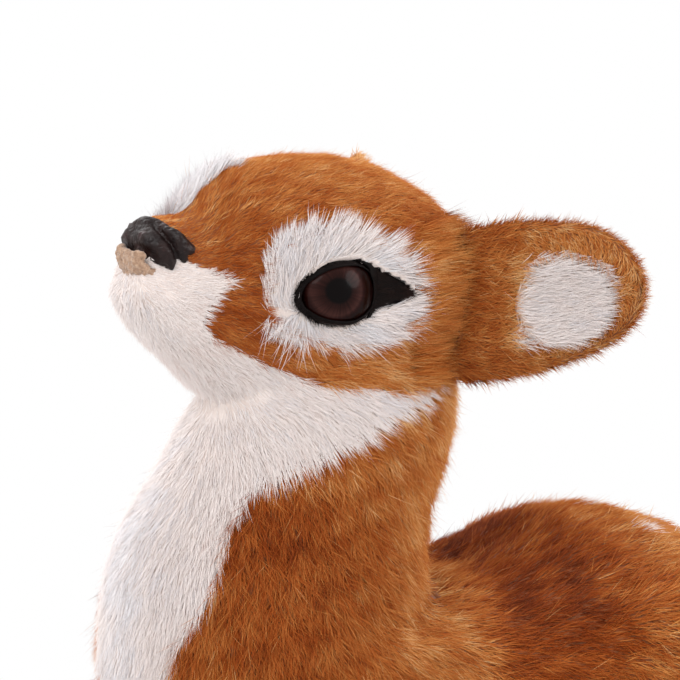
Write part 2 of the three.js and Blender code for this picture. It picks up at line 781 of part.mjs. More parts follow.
const fawn = new THREE.Group();
function place(name, solid, material) {
  const mesh = new THREE.Mesh(geometryOf(solid).toNonIndexed(), material);
  mesh.geometry.computeVertexNormals();
  mesh.name = name;
  fawn.add(mesh);
}

// The foams and the dowel between them.
const dowelAlongShare = 0.3;
const dowelTop = neckTop - DOWEL_DIAMETER / 4;
function dowelForm(grow) {
  const rod = new THREE.CylinderGeometry(
    DOWEL_DIAMETER / 2 + grow,
    DOWEL_DIAMETER / 2 + grow,
    DOWEL_LENGTH + 2 * grow,
    16,
  );
  rod.rotateX(Math.PI / 2);
  return solidOf(rod.translate(0, torsoFront + dowelAlongShare * TORSO_LENGTH, dowelTop - DOWEL_LENGTH / 2));
}
const sides = [
  ["left", 1],
  ["right", -1],
];
const noseRoom = joined(noseForm(GAP), padSpace(GAP));
const eyeRooms = sides.map(([, side]) => eyeForm(side, GAP));
const dowelBore = dowelForm(GAP);
place("body_foam", cutBy(trunk(-foamInset), headForm(-PELT), dowelBore, tailRootForm(GAP)), foam);
place("head_foam", cutBy(headForm(-foamInset), noseRoom, ...eyeRooms, dowelBore), foam);
place("neck_dowel", dowelForm(0), wood);

// The fur panels are one hollow skin, parted along the seams.
const outside = cutBy(figure(0), floorCutter);
const skin = outside.subtract(figure(-PELT));
const bellyRoom = (depth) =>
  box(new THREE.Vector3(-OVERRUN, -OVERRUN, -OVERRUN), new THREE.Vector3(OVERRUN, OVERRUN, depth));
const patchRooms = sides.map(([, side]) => sidePrism(side, patchOutline, GAP));
const panel = (outline) => cutBy(skin.intersect(acrossX(outline)), seams, bellyRoom(BELLY_PANEL + GAP));
place("head_pelt", cutBy(panel(panelOutlines.head), noseRoom, ...patchRooms), brownFur);
place("muzzle_pelt", cutBy(panel(panelOutlines.muzzle), noseRoom, ...patchRooms), whiteFur);
place("throat_and_bib_pelt", panel(panelOutlines.bib), whiteFur);
place("neck_pelt", panel(panelOutlines.neck), brownFur);
place("back_pelt", cutBy(panel(panelOutlines.back), tailRootForm(GAP)), brownFur);
place("belly_pelt", skin.intersect(bellyRoom(BELLY_PANEL)), whiteFur);

// The eyes, their lids and the white fur round them.
const lidSkin = headForm(-EYELID_SUNK).subtract(headForm(-PELT));
sides.forEach(([name, side], i) => {
  const patch = skin.intersect(sidePrism(side, patchOutline, 0));
  place(name + "_eye_patch_pelt", cutBy(patch, sidePrism(side, lidOutline, GAP), eyeRooms[i]), whiteFur);
  const lid = lidSkin.intersect(sidePrism(side, lidOutline, 0));
  place(name + "_eyelid", cutBy(lid, eyeRooms[i]), blackLeather);
  place(name + "_eye", eyeForm(side, 0), eyeGloss);
});

place("nose", noseForm(0), blackMoulding);
place("nose_pad", cutBy(padSpace(0), noseForm(GAP)), brownFlock);

const bodyRoom = figure(GAP);

// The ears, each a furry shell with a stiff card in it and a pale lining in its bowl.
sides.forEach(([name, side]) => {
  const { width, root } = earFrame(side);
  const clear = sweepOf(bodyRoom, root, width, -EAR_FLEX_ANGLE, EAR_FLEX_ANGLE);
  const shell = cutBy(earForm(side, 0), scoopForm(side, GAP, 0), ...clear);
  place(name + "_ear_shell", shell, brownFur);
  const lining = scoopForm(side, 0, 0).intersect(earForm(side, 0));
  place(name + "_ear_lining", cutBy(lining, scoopForm(side, 0, LINING_THICKNESS)), whiteFur);
});

// The tail flexes up and down about its root.
const tailClear = sweepOf(bodyRoom, tailRoot, X, -TAIL_FLEX_UP_ANGLE, TAIL_FLEX_DOWN_ANGLE);
place("tail", joined(tailRootForm(0), cutBy(tailForm(), ...tailClear)), brownFur);

// The folded legs, from the body outwards.
sides.forEach(([name, side]) => {
  const forearm = cutBy(limbForm(side, forearmShares, FOREARM_THICKNESS, 0), bodyRoom, floorCutter);
  const forearmRoom = limbForm(side, forearmShares, FOREARM_THICKNESS, GAP);
  const legs = [
    ["fore", foreCannonShares, FORE_CANNON_THICKNESS, [bodyRoom, forearmRoom]],
    ["hind", hindCannonShares, HIND_CANNON_THICKNESS, [bodyRoom]],
  ];
  place(name + "_forearm", forearm, brownFur);
  for (const [leg, placeShares, thickness, rooms] of legs) {
    const hoof = cutBy(hoofForm(side, placeShares), floorCutter);
    const cannon = cutBy(limbForm(side, placeShares, thickness, 0), ...rooms, floorCutter);
    const cannonRoom = limbForm(side, placeShares, thickness, GAP);
    place(name + "_" + leg + "_cannon", cannon, brownFur);
    place(name + "_" + leg + "_hoof", cutBy(hoof, cannonRoom, ...rooms), hoofMoulding);
  }
});

// Centre the toy over the origin.
const extent = new THREE.Box3().setFromObject(fawn);
fawn.position.y = -(extent.min.y + extent.max.y) / 2;

export default fawn;
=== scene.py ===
import math

import bmesh
import bpy
import numpy as np
from bpy.props import FloatProperty, FloatVectorProperty, PointerProperty
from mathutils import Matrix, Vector
from mathutils.bvhtree import BVHTree


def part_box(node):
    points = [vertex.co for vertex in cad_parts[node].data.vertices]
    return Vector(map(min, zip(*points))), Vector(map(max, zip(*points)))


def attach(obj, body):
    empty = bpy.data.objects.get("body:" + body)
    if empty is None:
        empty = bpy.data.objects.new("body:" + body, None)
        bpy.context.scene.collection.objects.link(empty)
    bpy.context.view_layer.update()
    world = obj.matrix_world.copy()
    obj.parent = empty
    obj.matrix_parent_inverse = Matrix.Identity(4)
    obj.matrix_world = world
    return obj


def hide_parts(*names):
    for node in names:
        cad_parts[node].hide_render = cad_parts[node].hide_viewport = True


bl_info = {
    "name": "Plush deer",
    "version": (1, 0, 0),
    "blender": (4, 5, 0),
    "location": "View3D > Sidebar > Deer",
    "description": "A lying fur-covered fawn with a moulded nose, plastic eyes and flexing ears",
    "category": "Object",
}

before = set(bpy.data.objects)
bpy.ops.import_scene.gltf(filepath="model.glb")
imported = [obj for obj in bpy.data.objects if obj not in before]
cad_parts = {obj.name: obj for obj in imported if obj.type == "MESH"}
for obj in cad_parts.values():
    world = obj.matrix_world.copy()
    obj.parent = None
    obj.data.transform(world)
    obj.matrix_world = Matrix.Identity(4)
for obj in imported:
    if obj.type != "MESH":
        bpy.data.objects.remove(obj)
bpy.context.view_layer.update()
MM = 0.001
SIDES = (("left", 1), ("right", -1))


# Colours and shared small helpers

def linear(hex_colour):
    """A written colour as Blender's linear red, green, blue."""
    parts = [int(hex_colour[i : i + 2], 16) / 255 for i in (1, 3, 5)]
    return tuple(c / 12.92 if c <= 0.04045 else ((c + 0.055) / 1.055) ** 2.4 for c in parts)


def settings():
    """The values that a user can change."""
    return bpy.context.scene.deer


def ripple(points, wavelength, seed, waves=10):
    """A smooth random value at each point, about -1 to 1, from sine waves in all directions."""
    rng = np.random.default_rng(seed)
    ways = rng.normal(size=(waves, 3))
    ways /= np.linalg.norm(ways, axis=1)[:, None]
    ways *= 2 * math.pi / wavelength * rng.uniform(0.7, 1.4, (waves, 1))
    return np.sin(points @ ways.T + rng.uniform(0, 2 * math.pi, waves)).sum(1) / math.sqrt(2 * waves)


def unit(vectors):
    """Each vector at length 1."""
    return vectors / np.maximum(np.linalg.norm(vectors, axis=-1, keepdims=True), 1e-9)


# Materials

class Shader:
    """Builds one node material, a node at a time."""

    def __init__(self, name):
        self.material = bpy.data.materials.new(name)
        self.material.use_nodes = True
        self.tree = self.material.node_tree
        self.surface = self.tree.nodes["Principled BSDF"]

    def node(self, kind, **values):
        """A new node: capitalised names are its inputs, and the others are its properties."""
        node = self.tree.nodes.new(kind)
        for key, value in values.items():
            if key[0].isupper():
                node.inputs[key].default_value = value
            else:
                setattr(node, key, value)
        return node

    def link(self, source, target):
        self.tree.links.new(source, target)

    def ramp(self, factor, stops):
        """A colour ramp, whose stops are written colours or plain greys."""
        node = self.node("ShaderNodeValToRGB")
        ramp = node.color_ramp
        while len(ramp.elements) < len(stops):
            ramp.elements.new(0.5)
        for element, (place, colour) in zip(ramp.elements, stops):
            element.position = place
            element.color = (*(linear(colour) if isinstance(colour, str) else (colour,) * 3), 1)
        self.link(factor, node.inputs["Fac"])
        return node.outputs["Color"]

    def mixed(self, kind, factor, first, second):
        node = self.node("ShaderNodeMix", data_type="RGBA", blend_type=kind)
        for socket, value in zip((node.inputs[0], node.inputs[6], node.inputs[7]), (factor, first, second)):
            if isinstance(value, bpy.types.NodeSocket):
                self.link(value, socket)
            else:
                socket.default_value = value
        return node.outputs[2]

    def paint(self, factor, stops):
        """Lets a ramp of the factor be the surface's colour."""
        self.link(self.ramp(factor, stops), self.surface.inputs["Base Color"])

    def set(self, **values):
        for key, value in values.items():
            self.surface.inputs[key.replace("_", " ")].default_value = value

    def bump(self, height, strength, distance):
        node = self.node("ShaderNodeBump", Strength=strength, Distance=distance)
        self.link(height, node.inputs["Height"])
        self.link(node.outputs["Normal"], self.surface.inputs["Normal"])

    def noise(self, scale, detail=3.0, roughness=0.55, stretch=(1, 1, 1)):
        place = self.node("ShaderNodeTexCoord")
        mapping = self.node("ShaderNodeMapping", Scale=stretch)
        self.link(place.outputs["Object"], mapping.inputs["Vector"])
        node = self.node("ShaderNodeTexNoise", Scale=scale, Detail=detail, Roughness=roughness)
        self.link(mapping.outputs["Vector"], node.inputs["Vector"])
        return node.outputs["Fac"]


def made_once(build):
    """Keeps the first result of a function that takes no arguments."""
    kept = []

    def once():
        if not kept:
            kept.append(build())
        return kept[0]

    return once


def fur_material(name, tones, along, glow):
    """Fur drawn on the locks' own map: tone runs across it, and root to tip runs up it."""
    shader = Shader(name)
    place = shader.node("ShaderNodeUVMap", uv_map="OFBake")
    apart = shader.node("ShaderNodeSeparateXYZ")
    shader.link(place.outputs["UV"], apart.inputs["Vector"])
    tone = shader.ramp(apart.outputs["X"], tones)
    # Painted shade: the second ramp darkens each lock towards its root, deep in the coat, and leaves the tip at its
    # full tone
    depth = shader.ramp(apart.outputs["Y"], along)
    grain = shader.node("ShaderNodeTexNoise", Scale=60)
    shader.link(place.outputs["UV"], grain.inputs["Vector"])
    speckle = shader.ramp(grain.outputs["Fac"], [(0.3, 0.9), (0.7, 1.0)])
    colour = shader.mixed("MULTIPLY", 1.0, shader.mixed("MULTIPLY", 1.0, tone, depth), speckle)
    shader.link(colour, shader.surface.inputs["Base Color"])
    shader.set(Roughness=0.6, Specular_IOR_Level=0.12)
    shader.set(Sheen_Weight=0.12, Sheen_Roughness=0.4, Sheen_Tint=(*linear(glow), 1))
    return shader.material


@made_once
def brown_fur():
    tones = [(0, "#5a1f04"), (0.3, "#923f0f"), (0.45, "#ae561d"), (0.6, "#be6c30"), (0.8, "#d7914c"), (1, "#ecc28a")]
    # The second ramp is painted shade at the locks' roots
    return fur_material("brown_fur", tones, [(0, 0.65), (0.4, 0.92), (1, 1.0)], "#e08a40")


@made_once
def white_fur():
    tones = [(0, "#d5bfb7"), (0.3, "#e6d5cf"), (0.5, "#f8f0ed"), (0.7, "#f0e5e1"), (0.88, "#e4e0e3"), (1, "#f4f1f2")]
    return fur_material("white_fur", tones, [(0, 0.92), (0.4, 0.98), (1, 1.0)], "#fff6f2")


def grained(name, noise, stops, bump, finer=None, **surface):
    """A material coloured by one noise, with bump of a strength and height from it or from a finer one."""
    shader = Shader(name)
    grain = shader.noise(*noise)
    shader.paint(grain, stops)
    shader.set(**surface)
    shader.bump(shader.noise(*finer) if finer else grain, *bump)
    return shader.material


def cloth(name, dark, light):
    stops = [(0.3, dark), (0.7, light)]
    return grained(name, (160, 4), stops, (0.5, 0.0004), (900, 2), Roughness=0.9, Sheen_Weight=0.2)


@made_once
def brown_hide():
    return cloth("brown_hide", "#6b3818", "#8f5024")


@made_once
def white_hide():
    return cloth("white_hide", "#cbbab2", "#e2d6d0")


@made_once
def core_foam():
    stops = [(0.35, "#cfc09a"), (0.65, "#efe6cf")]
    return grained("core_foam", (700, 3), stops, (0.6, 0.0004), (1400, 2), Roughness=0.95)


@made_once
def dowel_wood():
    stops = [(0.35, "#a98252"), (0.65, "#d2b381")]
    return grained("dowel_wood", (180, 6, 0.6, (1, 1, 0.08)), stops, (0.3, 0.0003), Roughness=0.7)


@made_once
def lid_leather():
    stops = [(0.3, "#040202"), (0.75, "#120b0a")]
    return grained("lid_leather", (900, 5, 0.6), stops, (0.7, 0.0003), Roughness=0.5, Specular_IOR_Level=0.06)


@made_once
def sand_flock():
    stops = [(0.3, "#7c5f49"), (0.5, "#a3826a"), (0.72, "#c4a68c")]
    return grained("sand_flock", (1500, 4, 0.7), stops, (0.8, 0.0004), Roughness=1.0, Sheen_Weight=0.3)


@made_once
def hoof_horn():
    stops, stretch = [(0.3, "#1f1613"), (0.7, "#4a372d")], (0.4, 0.4, 2.5)
    surface = {"Roughness": 0.42, "Coat_Weight": 0.2, "Coat_Roughness": 0.3}
    return grained("hoof_horn", (320, 5, 0.6, stretch), stops, (0.4, 0.0003), **surface)


@made_once
def black_fur():
    tones = [(0, "#060303"), (0.6, "#150c0a"), (1, "#2f1a13")]
    return fur_material("black_fur", tones, [(0, 0.9), (1, 1.0)], "#3a2418")


@made_once
def nose_rubber():
    shader = Shader("nose_rubber")
    shader.paint(shader.noise(260, 5, 0.6), [(0.3, "#0d0506"), (0.52, "#20110f"), (0.75, "#4a3334")])
    rough = shader.ramp(shader.noise(500, 3), [(0.3, 0.28), (0.7, 0.6)])
    shader.link(rough, shader.surface.inputs["Roughness"])
    shader.set(Specular_IOR_Level=0.22)
    pores = shader.node("ShaderNodeTexVoronoi", feature="DISTANCE_TO_EDGE", Scale=1100)
    place = shader.node("ShaderNodeTexCoord")
    shader.link(place.outputs["Object"], pores.inputs["Vector"])
    shader.bump(pores.outputs["Distance"], 0.5, 0.0004)
    return shader.material


IRIS_SHIFT = (-1.6 * MM, 1.1 * MM)


def eye_material(name, centre):
    """A dark pupil in a brown iris, drawn a little forward of the dome's middle and above it."""
    shader = Shader(name)
    face = settings().face
    place = shader.node("ShaderNodeTexCoord")
    offset = (0, -IRIS_SHIFT[0] - centre[1], -IRIS_SHIFT[1] - centre[2])
    mapping = shader.node("ShaderNodeMapping", vector_type="POINT", Location=offset, Scale=(0, 1, 1))
    shader.link(place.outputs["Object"], mapping.inputs["Vector"])

    def spread(width, height):
        scale = shader.node("ShaderNodeMapping", vector_type="POINT", Scale=(0, 1 / width, 1 / height))
        shader.link(mapping.outputs["Vector"], scale.inputs["Vector"])
        length = shader.node("ShaderNodeVectorMath", operation="LENGTH")
        shader.link(scale.outputs["Vector"], length.inputs[0])
        return length.outputs["Value"]

    iris = face.iris_diameter / 2
    rings = shader.ramp(
        spread(iris / 0.8, iris / 0.8),
        [(0.25, "#120706"), (0.5, "#28120f"), (0.7, "#3c211d"), (0.8, "#220a08"), (0.92, "#120302")],
    )
    turn = shader.node("ShaderNodeVectorMath", operation="NORMALIZE")
    shader.link(mapping.outputs["Vector"], turn.inputs[0])
    streaks = shader.node("ShaderNodeTexNoise", Scale=9, Detail=4)
    shader.link(turn.outputs["Vector"], streaks.inputs["Vector"])
    threads = shader.ramp(streaks.outputs["Fac"], [(0.35, 0.55), (0.65, 1.0)])
    iris_colour = shader.mixed("MULTIPLY", 1.0, rings, threads)
    pupil = shader.ramp(spread(face.pupil_width, face.pupil_height), [(0.42, 0.0), (0.52, 1.0)])
    colour = shader.mixed("MIX", pupil, (0.002, 0.001, 0.001, 1), iris_colour)
    shader.link(colour, shader.surface.inputs["Base Color"])
    shader.set(Roughness=0.3, Specular_IOR_Level=0.02, Coat_Weight=0.1, Coat_Roughness=0.12)
    return shader.material


# Meshes from the frame's own solids

def merged_copy(*nodes):
    """The CAD nodes' meshes as one bmesh with their loose triangles joined up."""
    bm = bmesh.new()
    for node in nodes:
        bm.from_mesh(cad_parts[node].data)
    bmesh.ops.remove_doubles(bm, verts=bm.verts, dist=1e-6)
    return bm


def piece_from(bm, name, material, smooth=True):
    """Makes an object of the shape, with its place in its mesh, and frees the shape."""
    mesh = bpy.data.meshes.new(name)
    bm.to_mesh(mesh)
    bm.free()
    piece = bpy.data.objects.new(name, mesh)
    bpy.context.scene.collection.objects.link(piece)
    if material:
        mesh.materials.append(material)
    if smooth:
        mesh.shade_smooth()
    return piece


def remeshed(bm, voxel, rounds=4):
    """One closed skin round everything in bm, with its steps smoothed away."""
    scratch = piece_from(bm, "scratch", None)
    modifier = scratch.modifiers.new("skin", "REMESH")
    modifier.mode = "VOXEL"
    modifier.voxel_size = voxel
    seen = scratch.evaluated_get(bpy.context.evaluated_depsgraph_get())
    skin = bmesh.new()
    skin.from_mesh(seen.to_mesh())
    seen.to_mesh_clear()
    bpy.data.objects.remove(scratch)
    shells = islands(skin)
    inner = [v for shell in shells[1:] for v in shell]
    bmesh.ops.delete(skin, geom=inner, context="VERTS")
    for _ in range(rounds):
        bmesh.ops.smooth_vert(skin, verts=skin.verts, factor=0.5, use_axis_x=True, use_axis_y=True, use_axis_z=True)
    skin.normal_update()
    return skin


def lightened(piece, share):
    """Keeps a share of the piece's faces, where they are too small to show."""
    modifier = piece.modifiers.new("lighter", "DECIMATE")
    modifier.ratio = share
    seen = piece.evaluated_get(bpy.context.evaluated_depsgraph_get())
    bm = bmesh.new()
    bm.from_mesh(seen.to_mesh())
    seen.to_mesh_clear()
    piece.modifiers.clear()
    bm.to_mesh(piece.data)
    bm.free()


def islands(bm):
    """The vertices of each connected shell, the largest first."""
    left, shells = set(bm.verts), []
    while left:
        shell, edge = set(), [left.pop()]
        while edge:
            vert = edge.pop()
            shell.add(vert)
            for link in vert.link_edges:
                other = link.other_vert(vert)
                if other in left:
                    left.remove(other)
                    edge.append(other)
        shells.append(shell)
    return sorted(shells, key=len, reverse=True)


def sunk(bm, depths):
    """Moves each vertex inwards by its own depth, or all of them by one."""
    normals = [v.normal.copy() for v in bm.verts]
    for vert, normal, depth in zip(bm.verts, normals, np.broadcast_to(depths, len(normals))):
        vert.co -= normal * float(depth)
    bm.normal_update()


def places(bm):
    """The vertices' places as an array."""
    return np.array([v.co for v in bm.verts])


# How the fur lies: tufts, each with its place and its way in mm, its length in mm, its
# lift in degrees and its tone from dark to light. Both sides of the toy are alike.
TUFTS = (
    (3, -46, 98, 0.1, 1, 0.25, 2.0, 18, 0.7),
    (4, -38, 102, 0.1, 1, 0.2, 2.6, 18, 0.68),
    (4, -28, 106, 0, 1, 0.05, 2.9, 18, 0.7),
    (4, -15, 108, 0, 1, -0.1, 3.2, 18, 0.68),
    (5, -5, 103, 0, 0.8, -0.6, 3.6, 20, 0.66),
    (6, 2, 92, 0, 0.3, -1, 4.0, 20, 0.6),
    (13, -33, 80, 0.1, 1, -0.2, 2.6, 18, 0.62),
    # Painted light: lighter tones on the cheek's rear, where the ear's shadow falls (this row and the next)
    (14, -22, 77, 0, 1, -0.1, 2.9, 20, 0.84),
    (14, -10, 80, 0, 1, -0.15, 3.4, 20, 0.96),
    # Painted shade: a dark tone in front of the ear's root
    (14, -8, 91, 0.3, 1, -0.1, 3.2, 20, 0.32),
    (13, -44, 88, 0.1, 0.9, -0.1, 2.0, 14, 0.44),
    (13, -43, 96, 0.1, 0.8, 0.5, 1.8, 14, 0.36),
    (11, -20, 101, 0.2, 1, 0, 2.9, 18, 0.6),
    (12, -34, 77, 0, 1, -0.45, 2.6, 24, 0.7),
    # Painted light: a lighter tone below the ear, in the ear's shadow
    (15, -20, 74, 0, 1, -0.4, 2.8, 26, 0.92),
    (10, -48, 86, 0.1, 0.9, -0.35, 2.4, 18, 0.5),
    (4, -58, 84, 0.3, 0.3, -0.9, 2.2, 22, 0.66),
    # Painted light: the throat under the chin takes the brightest white of the ramp, against the shade under the head
    # (these five rows)
    (3, -52, 74, 0, 0.5, -0.8, 3.0, 15, 0.5),
    (4, -38, 70, 0, 0.9, -0.5, 3.6, 15, 0.5),
    (12, -25, 70, 0.1, 0.45, -0.95, 5.0, 16, 0.52),
    (15, -10, 72, 0.1, 0.5, -0.85, 4.4, 16, 0.5),
    (15, -33, 62, 0, 0.1, -1, 5.4, 15, 0.54),
    # Painted shade: the bib takes the cooler, greyer white high in the ramp, for the cool shade on it (these four
    # rows)
    (0, -38, 64, 0, 0.1, -1, 3.6, 14, 0.84),
    (0, -52, 45, 0, -0.1, -1, 3.6, 12, 0.88),
    (10, -48, 40, 0.25, 0, -1, 3.8, 12, 0.86),
    (8, -58, 20, 0.1, -0.1, -1, 3.8, 12, 0.86),
    (18, -41, 53, 0, 0.05, -1, 4.4, 20, 0.34),
    (18, -48, 47, 0, 0, -1, 4.6, 20, 0.36),
    (17, -55, 35, 0, 0, -1, 4.6, 20, 0.38),
    (22, -34, 47, 0, 0.1, -1, 4.6, 22, 0.44),
    (19, -22, 55, 0, 0.2, -1, 4.6, 22, 0.6),
    (20, -20, 47, 0, 0.25, -1, 4.6, 22, 0.66),
    # Painted light: a lighter tone towards the neck's rear edge
    (16, -12, 62, 0, 0.15, -1, 4.4, 20, 0.76),
    (19, -15, 36, 0, 0.5, -0.9, 4.6, 18, 0.72),
    (26, -19, 28, 0, 0.5, -0.9, 4.6, 18, 0.72),
    (28, -32, 25, 0, 0.35, -0.95, 4.6, 18, 0.46),
    # Painted light: lighter tones along the neck's rear edge (these two rows)
    (8, -1, 72, 0, 0.15, -1, 4.2, 20, 0.86),
    (8, 0, 50, 0, 0.45, -1, 4.6, 20, 0.88),
    (3, -1, 37, 0, 1, -0.1, 4.6, 18, 0.78),
    (5, 25, 41, 0, 1, 0, 4.2, 13, 0.62),
    (8, 14, 39, 0, 1, 0, 4.2, 14, 0.5),
    (6, 37, 40, 0, 1, -0.1, 4.2, 13, 0.78),
    # Painted shade: very dark tones on the back just behind the neck's foot, where the neck shades it (these three
    # rows)
    (14, 14, 37, 0, 0.9, -0.2, 4.4, 16, 0.06),
    (20, 8, 33, 0, 0.9, -0.3, 4.4, 16, 0.16),
    (8, 6, 37, 0, 0.9, -0.2, 4.2, 14, 0.1),
    (20, 29, 37, 0, 0.9, -0.3, 4.4, 16, 0.66),
    (28, 21, 32, 0, 0.9, -0.3, 4.6, 18, 0.58),
    (5, 50, 34, 0, 0.9, -0.45, 5.0, 18, 0.56),
    (30, 35, 25, 0.1, 0.7, -0.6, 4.8, 18, 0.52),
    (28, 5, 22, 0, 0.9, -0.3, 4.8, 18, 0.42),
    (5, 62, 20, 0, 0.3, -1, 4.8, 18, 0.5),
    (25, 20, 6, 0.2, 0.8, -0.4, 4.0, 12, 0.5),
    (10, 10, 0, 0, 1, 0, 2.5, 6, 0.6),
)
TUFT_REACH = 7.0
FUR_RISE = 0.85
NECK_FOOT = (-7, 7, 38)

# The fur round the nose is shorter, and the lip is sunk further
MUZZLE_MIDDLE, MUZZLE_REACH, MUZZLE_SHARE = (0, -54, 94.5), (8, 7.5, 6.5), 0.55
LIP_MIDDLE, LIP_REACH = (0, -54.5, 92.2), (8, 6.5, 3.2)


def guided(points):
    """The way, length, lift and tone of the fur at each point, from the nearest tufts."""
    table = np.array(TUFTS, float)
    side = np.sign(points[:, :1]) + (points[:, :1] == 0)
    here = np.hstack([np.abs(points[:, :1] / MM), points[:, 1:] / MM])
    apart = ((here[:, None, :] - table[None, :, :3]) ** 2).sum(2)
    weight = np.exp(-apart / (2 * TUFT_REACH**2)) + 1e-4 / (1 + apart)
    weight /= weight.sum(1, keepdims=True)
    mix = weight @ table[:, 3:]
    ways = mix[:, :3]
    ways[:, :1] *= side
    from_nose = np.linalg.norm((here - MUZZLE_MIDDLE) / MUZZLE_REACH, axis=1)
    short = np.clip(MUZZLE_SHARE + (from_nose - 1) * 1.2, MUZZLE_SHARE, 1)
    return ways, mix[:, 3] * MM * short, np.radians(mix[:, 4]), mix[:, 5]


# Locks of fur

SOFTNESS = 0.6
FLOOR_GAP = 0.15 * MM
PIECE_TRIANGLES = 190000
LOOSE_SHARE = 0.035
STRAYS = 150


def lock_shape(bends):
    """One tapering three-sided lock, standing from 0 to 1 along Z, and the way each corner of its faces looks."""
    bm = bmesh.new()
    bmesh.ops.create_cone(bm, cap_ends=True, cap_tris=False, segments=3, radius1=1, radius2=0, depth=1)
    bmesh.ops.translate(bm, vec=(0, 0, 0.5), verts=bm.verts)
    bmesh.ops.remove_doubles(bm, verts=bm.verts, dist=1e-5)
    if bends:
        flanks = [e for e in bm.edges if max(v.co.z for v in e.verts) > 0.9]
        bmesh.ops.subdivide_edges(bm, edges=flanks, cuts=bends, use_grid_fill=True)
        for vert in bm.verts:
            vert.co.xy *= 1 + vert.co.z
    bmesh.ops.recalc_face_normals(bm, faces=bm.faces)
    bmesh.ops.triangulate(bm, faces=bm.faces)
    bm.verts.index_update()
    points = np.array([v.co for v in bm.verts])
    faces = np.array([[v.index for v in f.verts] for f in bm.faces])
    bm.free()
    looks = points[faces][..., :2]
    broad = np.linalg.norm(looks, axis=2, keepdims=True) > 1e-6
    return points, faces, unit(np.where(broad, looks, looks.mean(1, keepdims=True)))


def locks(name, roots, normals, ways, lengths, lifts, widths, tones, material, bends=0, white=None):
    """Sets a lock on each root: it leaves the skin at its lift and lies down towards its tip."""
    shape, faces, looks = lock_shape(bends)
    count, size = len(roots), len(shape)
    ways = unit(ways - (ways * normals).sum(1, keepdims=True) * normals)
    across = unit(np.cross(normals, ways))
    along = shape[:, 2]
    rise = np.sin(lifts)[:, None] * (along * (1.45 - 0.45 * along))[None] * lengths[:, None]
    run = np.cos(lifts)[:, None] * along[None] * lengths[:, None]
    sink = np.minimum(0.25 * MM, lengths * 0.06)[:, None]
    spine = roots[:, None] + ways[:, None] * run[..., None] + normals[:, None] * (rise - sink)[..., None]
    wide = across[:, None] * shape[None, :, :1] * widths[:, None, None]
    thick = normals[:, None] * (shape[:, 1] * 0.7)[None, :, None] * widths[:, None, None]
    points = (spine + wide + thick).reshape(-1, 3)
    points[:, 2] = np.maximum(points[:, 2], FLOOR_GAP)
    corners = (faces[None] + (np.arange(count) * size)[:, None, None]).reshape(-1)
    mesh = bpy.data.meshes.new(name)
    mesh.vertices.add(len(points))
    mesh.vertices.foreach_set("co", points.astype(np.float32).ravel())
    mesh.loops.add(len(corners))
    mesh.loops.foreach_set("vertex_index", corners.astype(np.int32))
    mesh.polygons.add(len(corners) // 3)
    mesh.polygons.foreach_set("loop_start", np.arange(0, len(corners), 3, dtype=np.int32))
    u = np.clip(tones, 0.02, 0.98)[:, None] + shape[None, :, 0] * 0.006
    v = 0.04 + 0.92 * along + 0.02 * shape[:, 1] * (1 - along)
    uv = np.stack([u, np.broadcast_to(v, u.shape)], 2).reshape(-1, 2)[corners]
    layer = mesh.uv_layers.new(name="OFBake")
    layer.uv.foreach_set("vector", uv.astype(np.float32).ravel())
    mesh.materials.append(material)
    if white is not None:
        mesh.materials.append(white_fur())
        slots = np.repeat(white.astype(np.int32), len(faces))
        mesh.polygons.foreach_set("material_index", slots)
    mesh.update(calc_edges=True)
    mesh.shade_smooth()
    over, up = across[:, None, None], normals[:, None, None]
    soft = over * looks[None, ..., :1] + up * (looks[None, ..., 1:] + SOFTNESS)
    mesh.normals_split_custom_set(unit(soft).reshape(-1, 3).astype(np.float32))
    piece = bpy.data.objects.new(name, mesh)
    bpy.context.scene.collection.objects.link(piece)
    return piece


def sown(bm, density, seed):
    """Roots spread evenly over a skin, so many on each square mm, with their normals."""
    rng = np.random.default_rng(seed)
    tris = bm.calc_loop_triangles()
    corner = np.array([[l.vert.co for l in t] for t in tris])
    normal = np.array([[l.vert.normal for l in t] for t in tris])
    area = np.linalg.norm(np.cross(corner[:, 1] - corner[:, 0], corner[:, 2] - corner[:, 0]), axis=1) / 2
    count = int(area.sum() / MM**2 * density)
    pick = np.searchsorted(np.cumsum(area), (np.arange(count) + rng.uniform(0, 1, count)) / count * area.sum())
    pick = np.minimum(pick, len(area) - 1)
    a, b = rng.uniform(0, 1, (2, count))
    flip = a + b > 1
    a, b = np.where(flip, 1 - a, a), np.where(flip, 1 - b, b)
    share = np.stack([1 - a - b, a, b], 1)[..., None]
    return (corner[pick] * share).sum(1), unit((normal[pick] * share).sum(1))


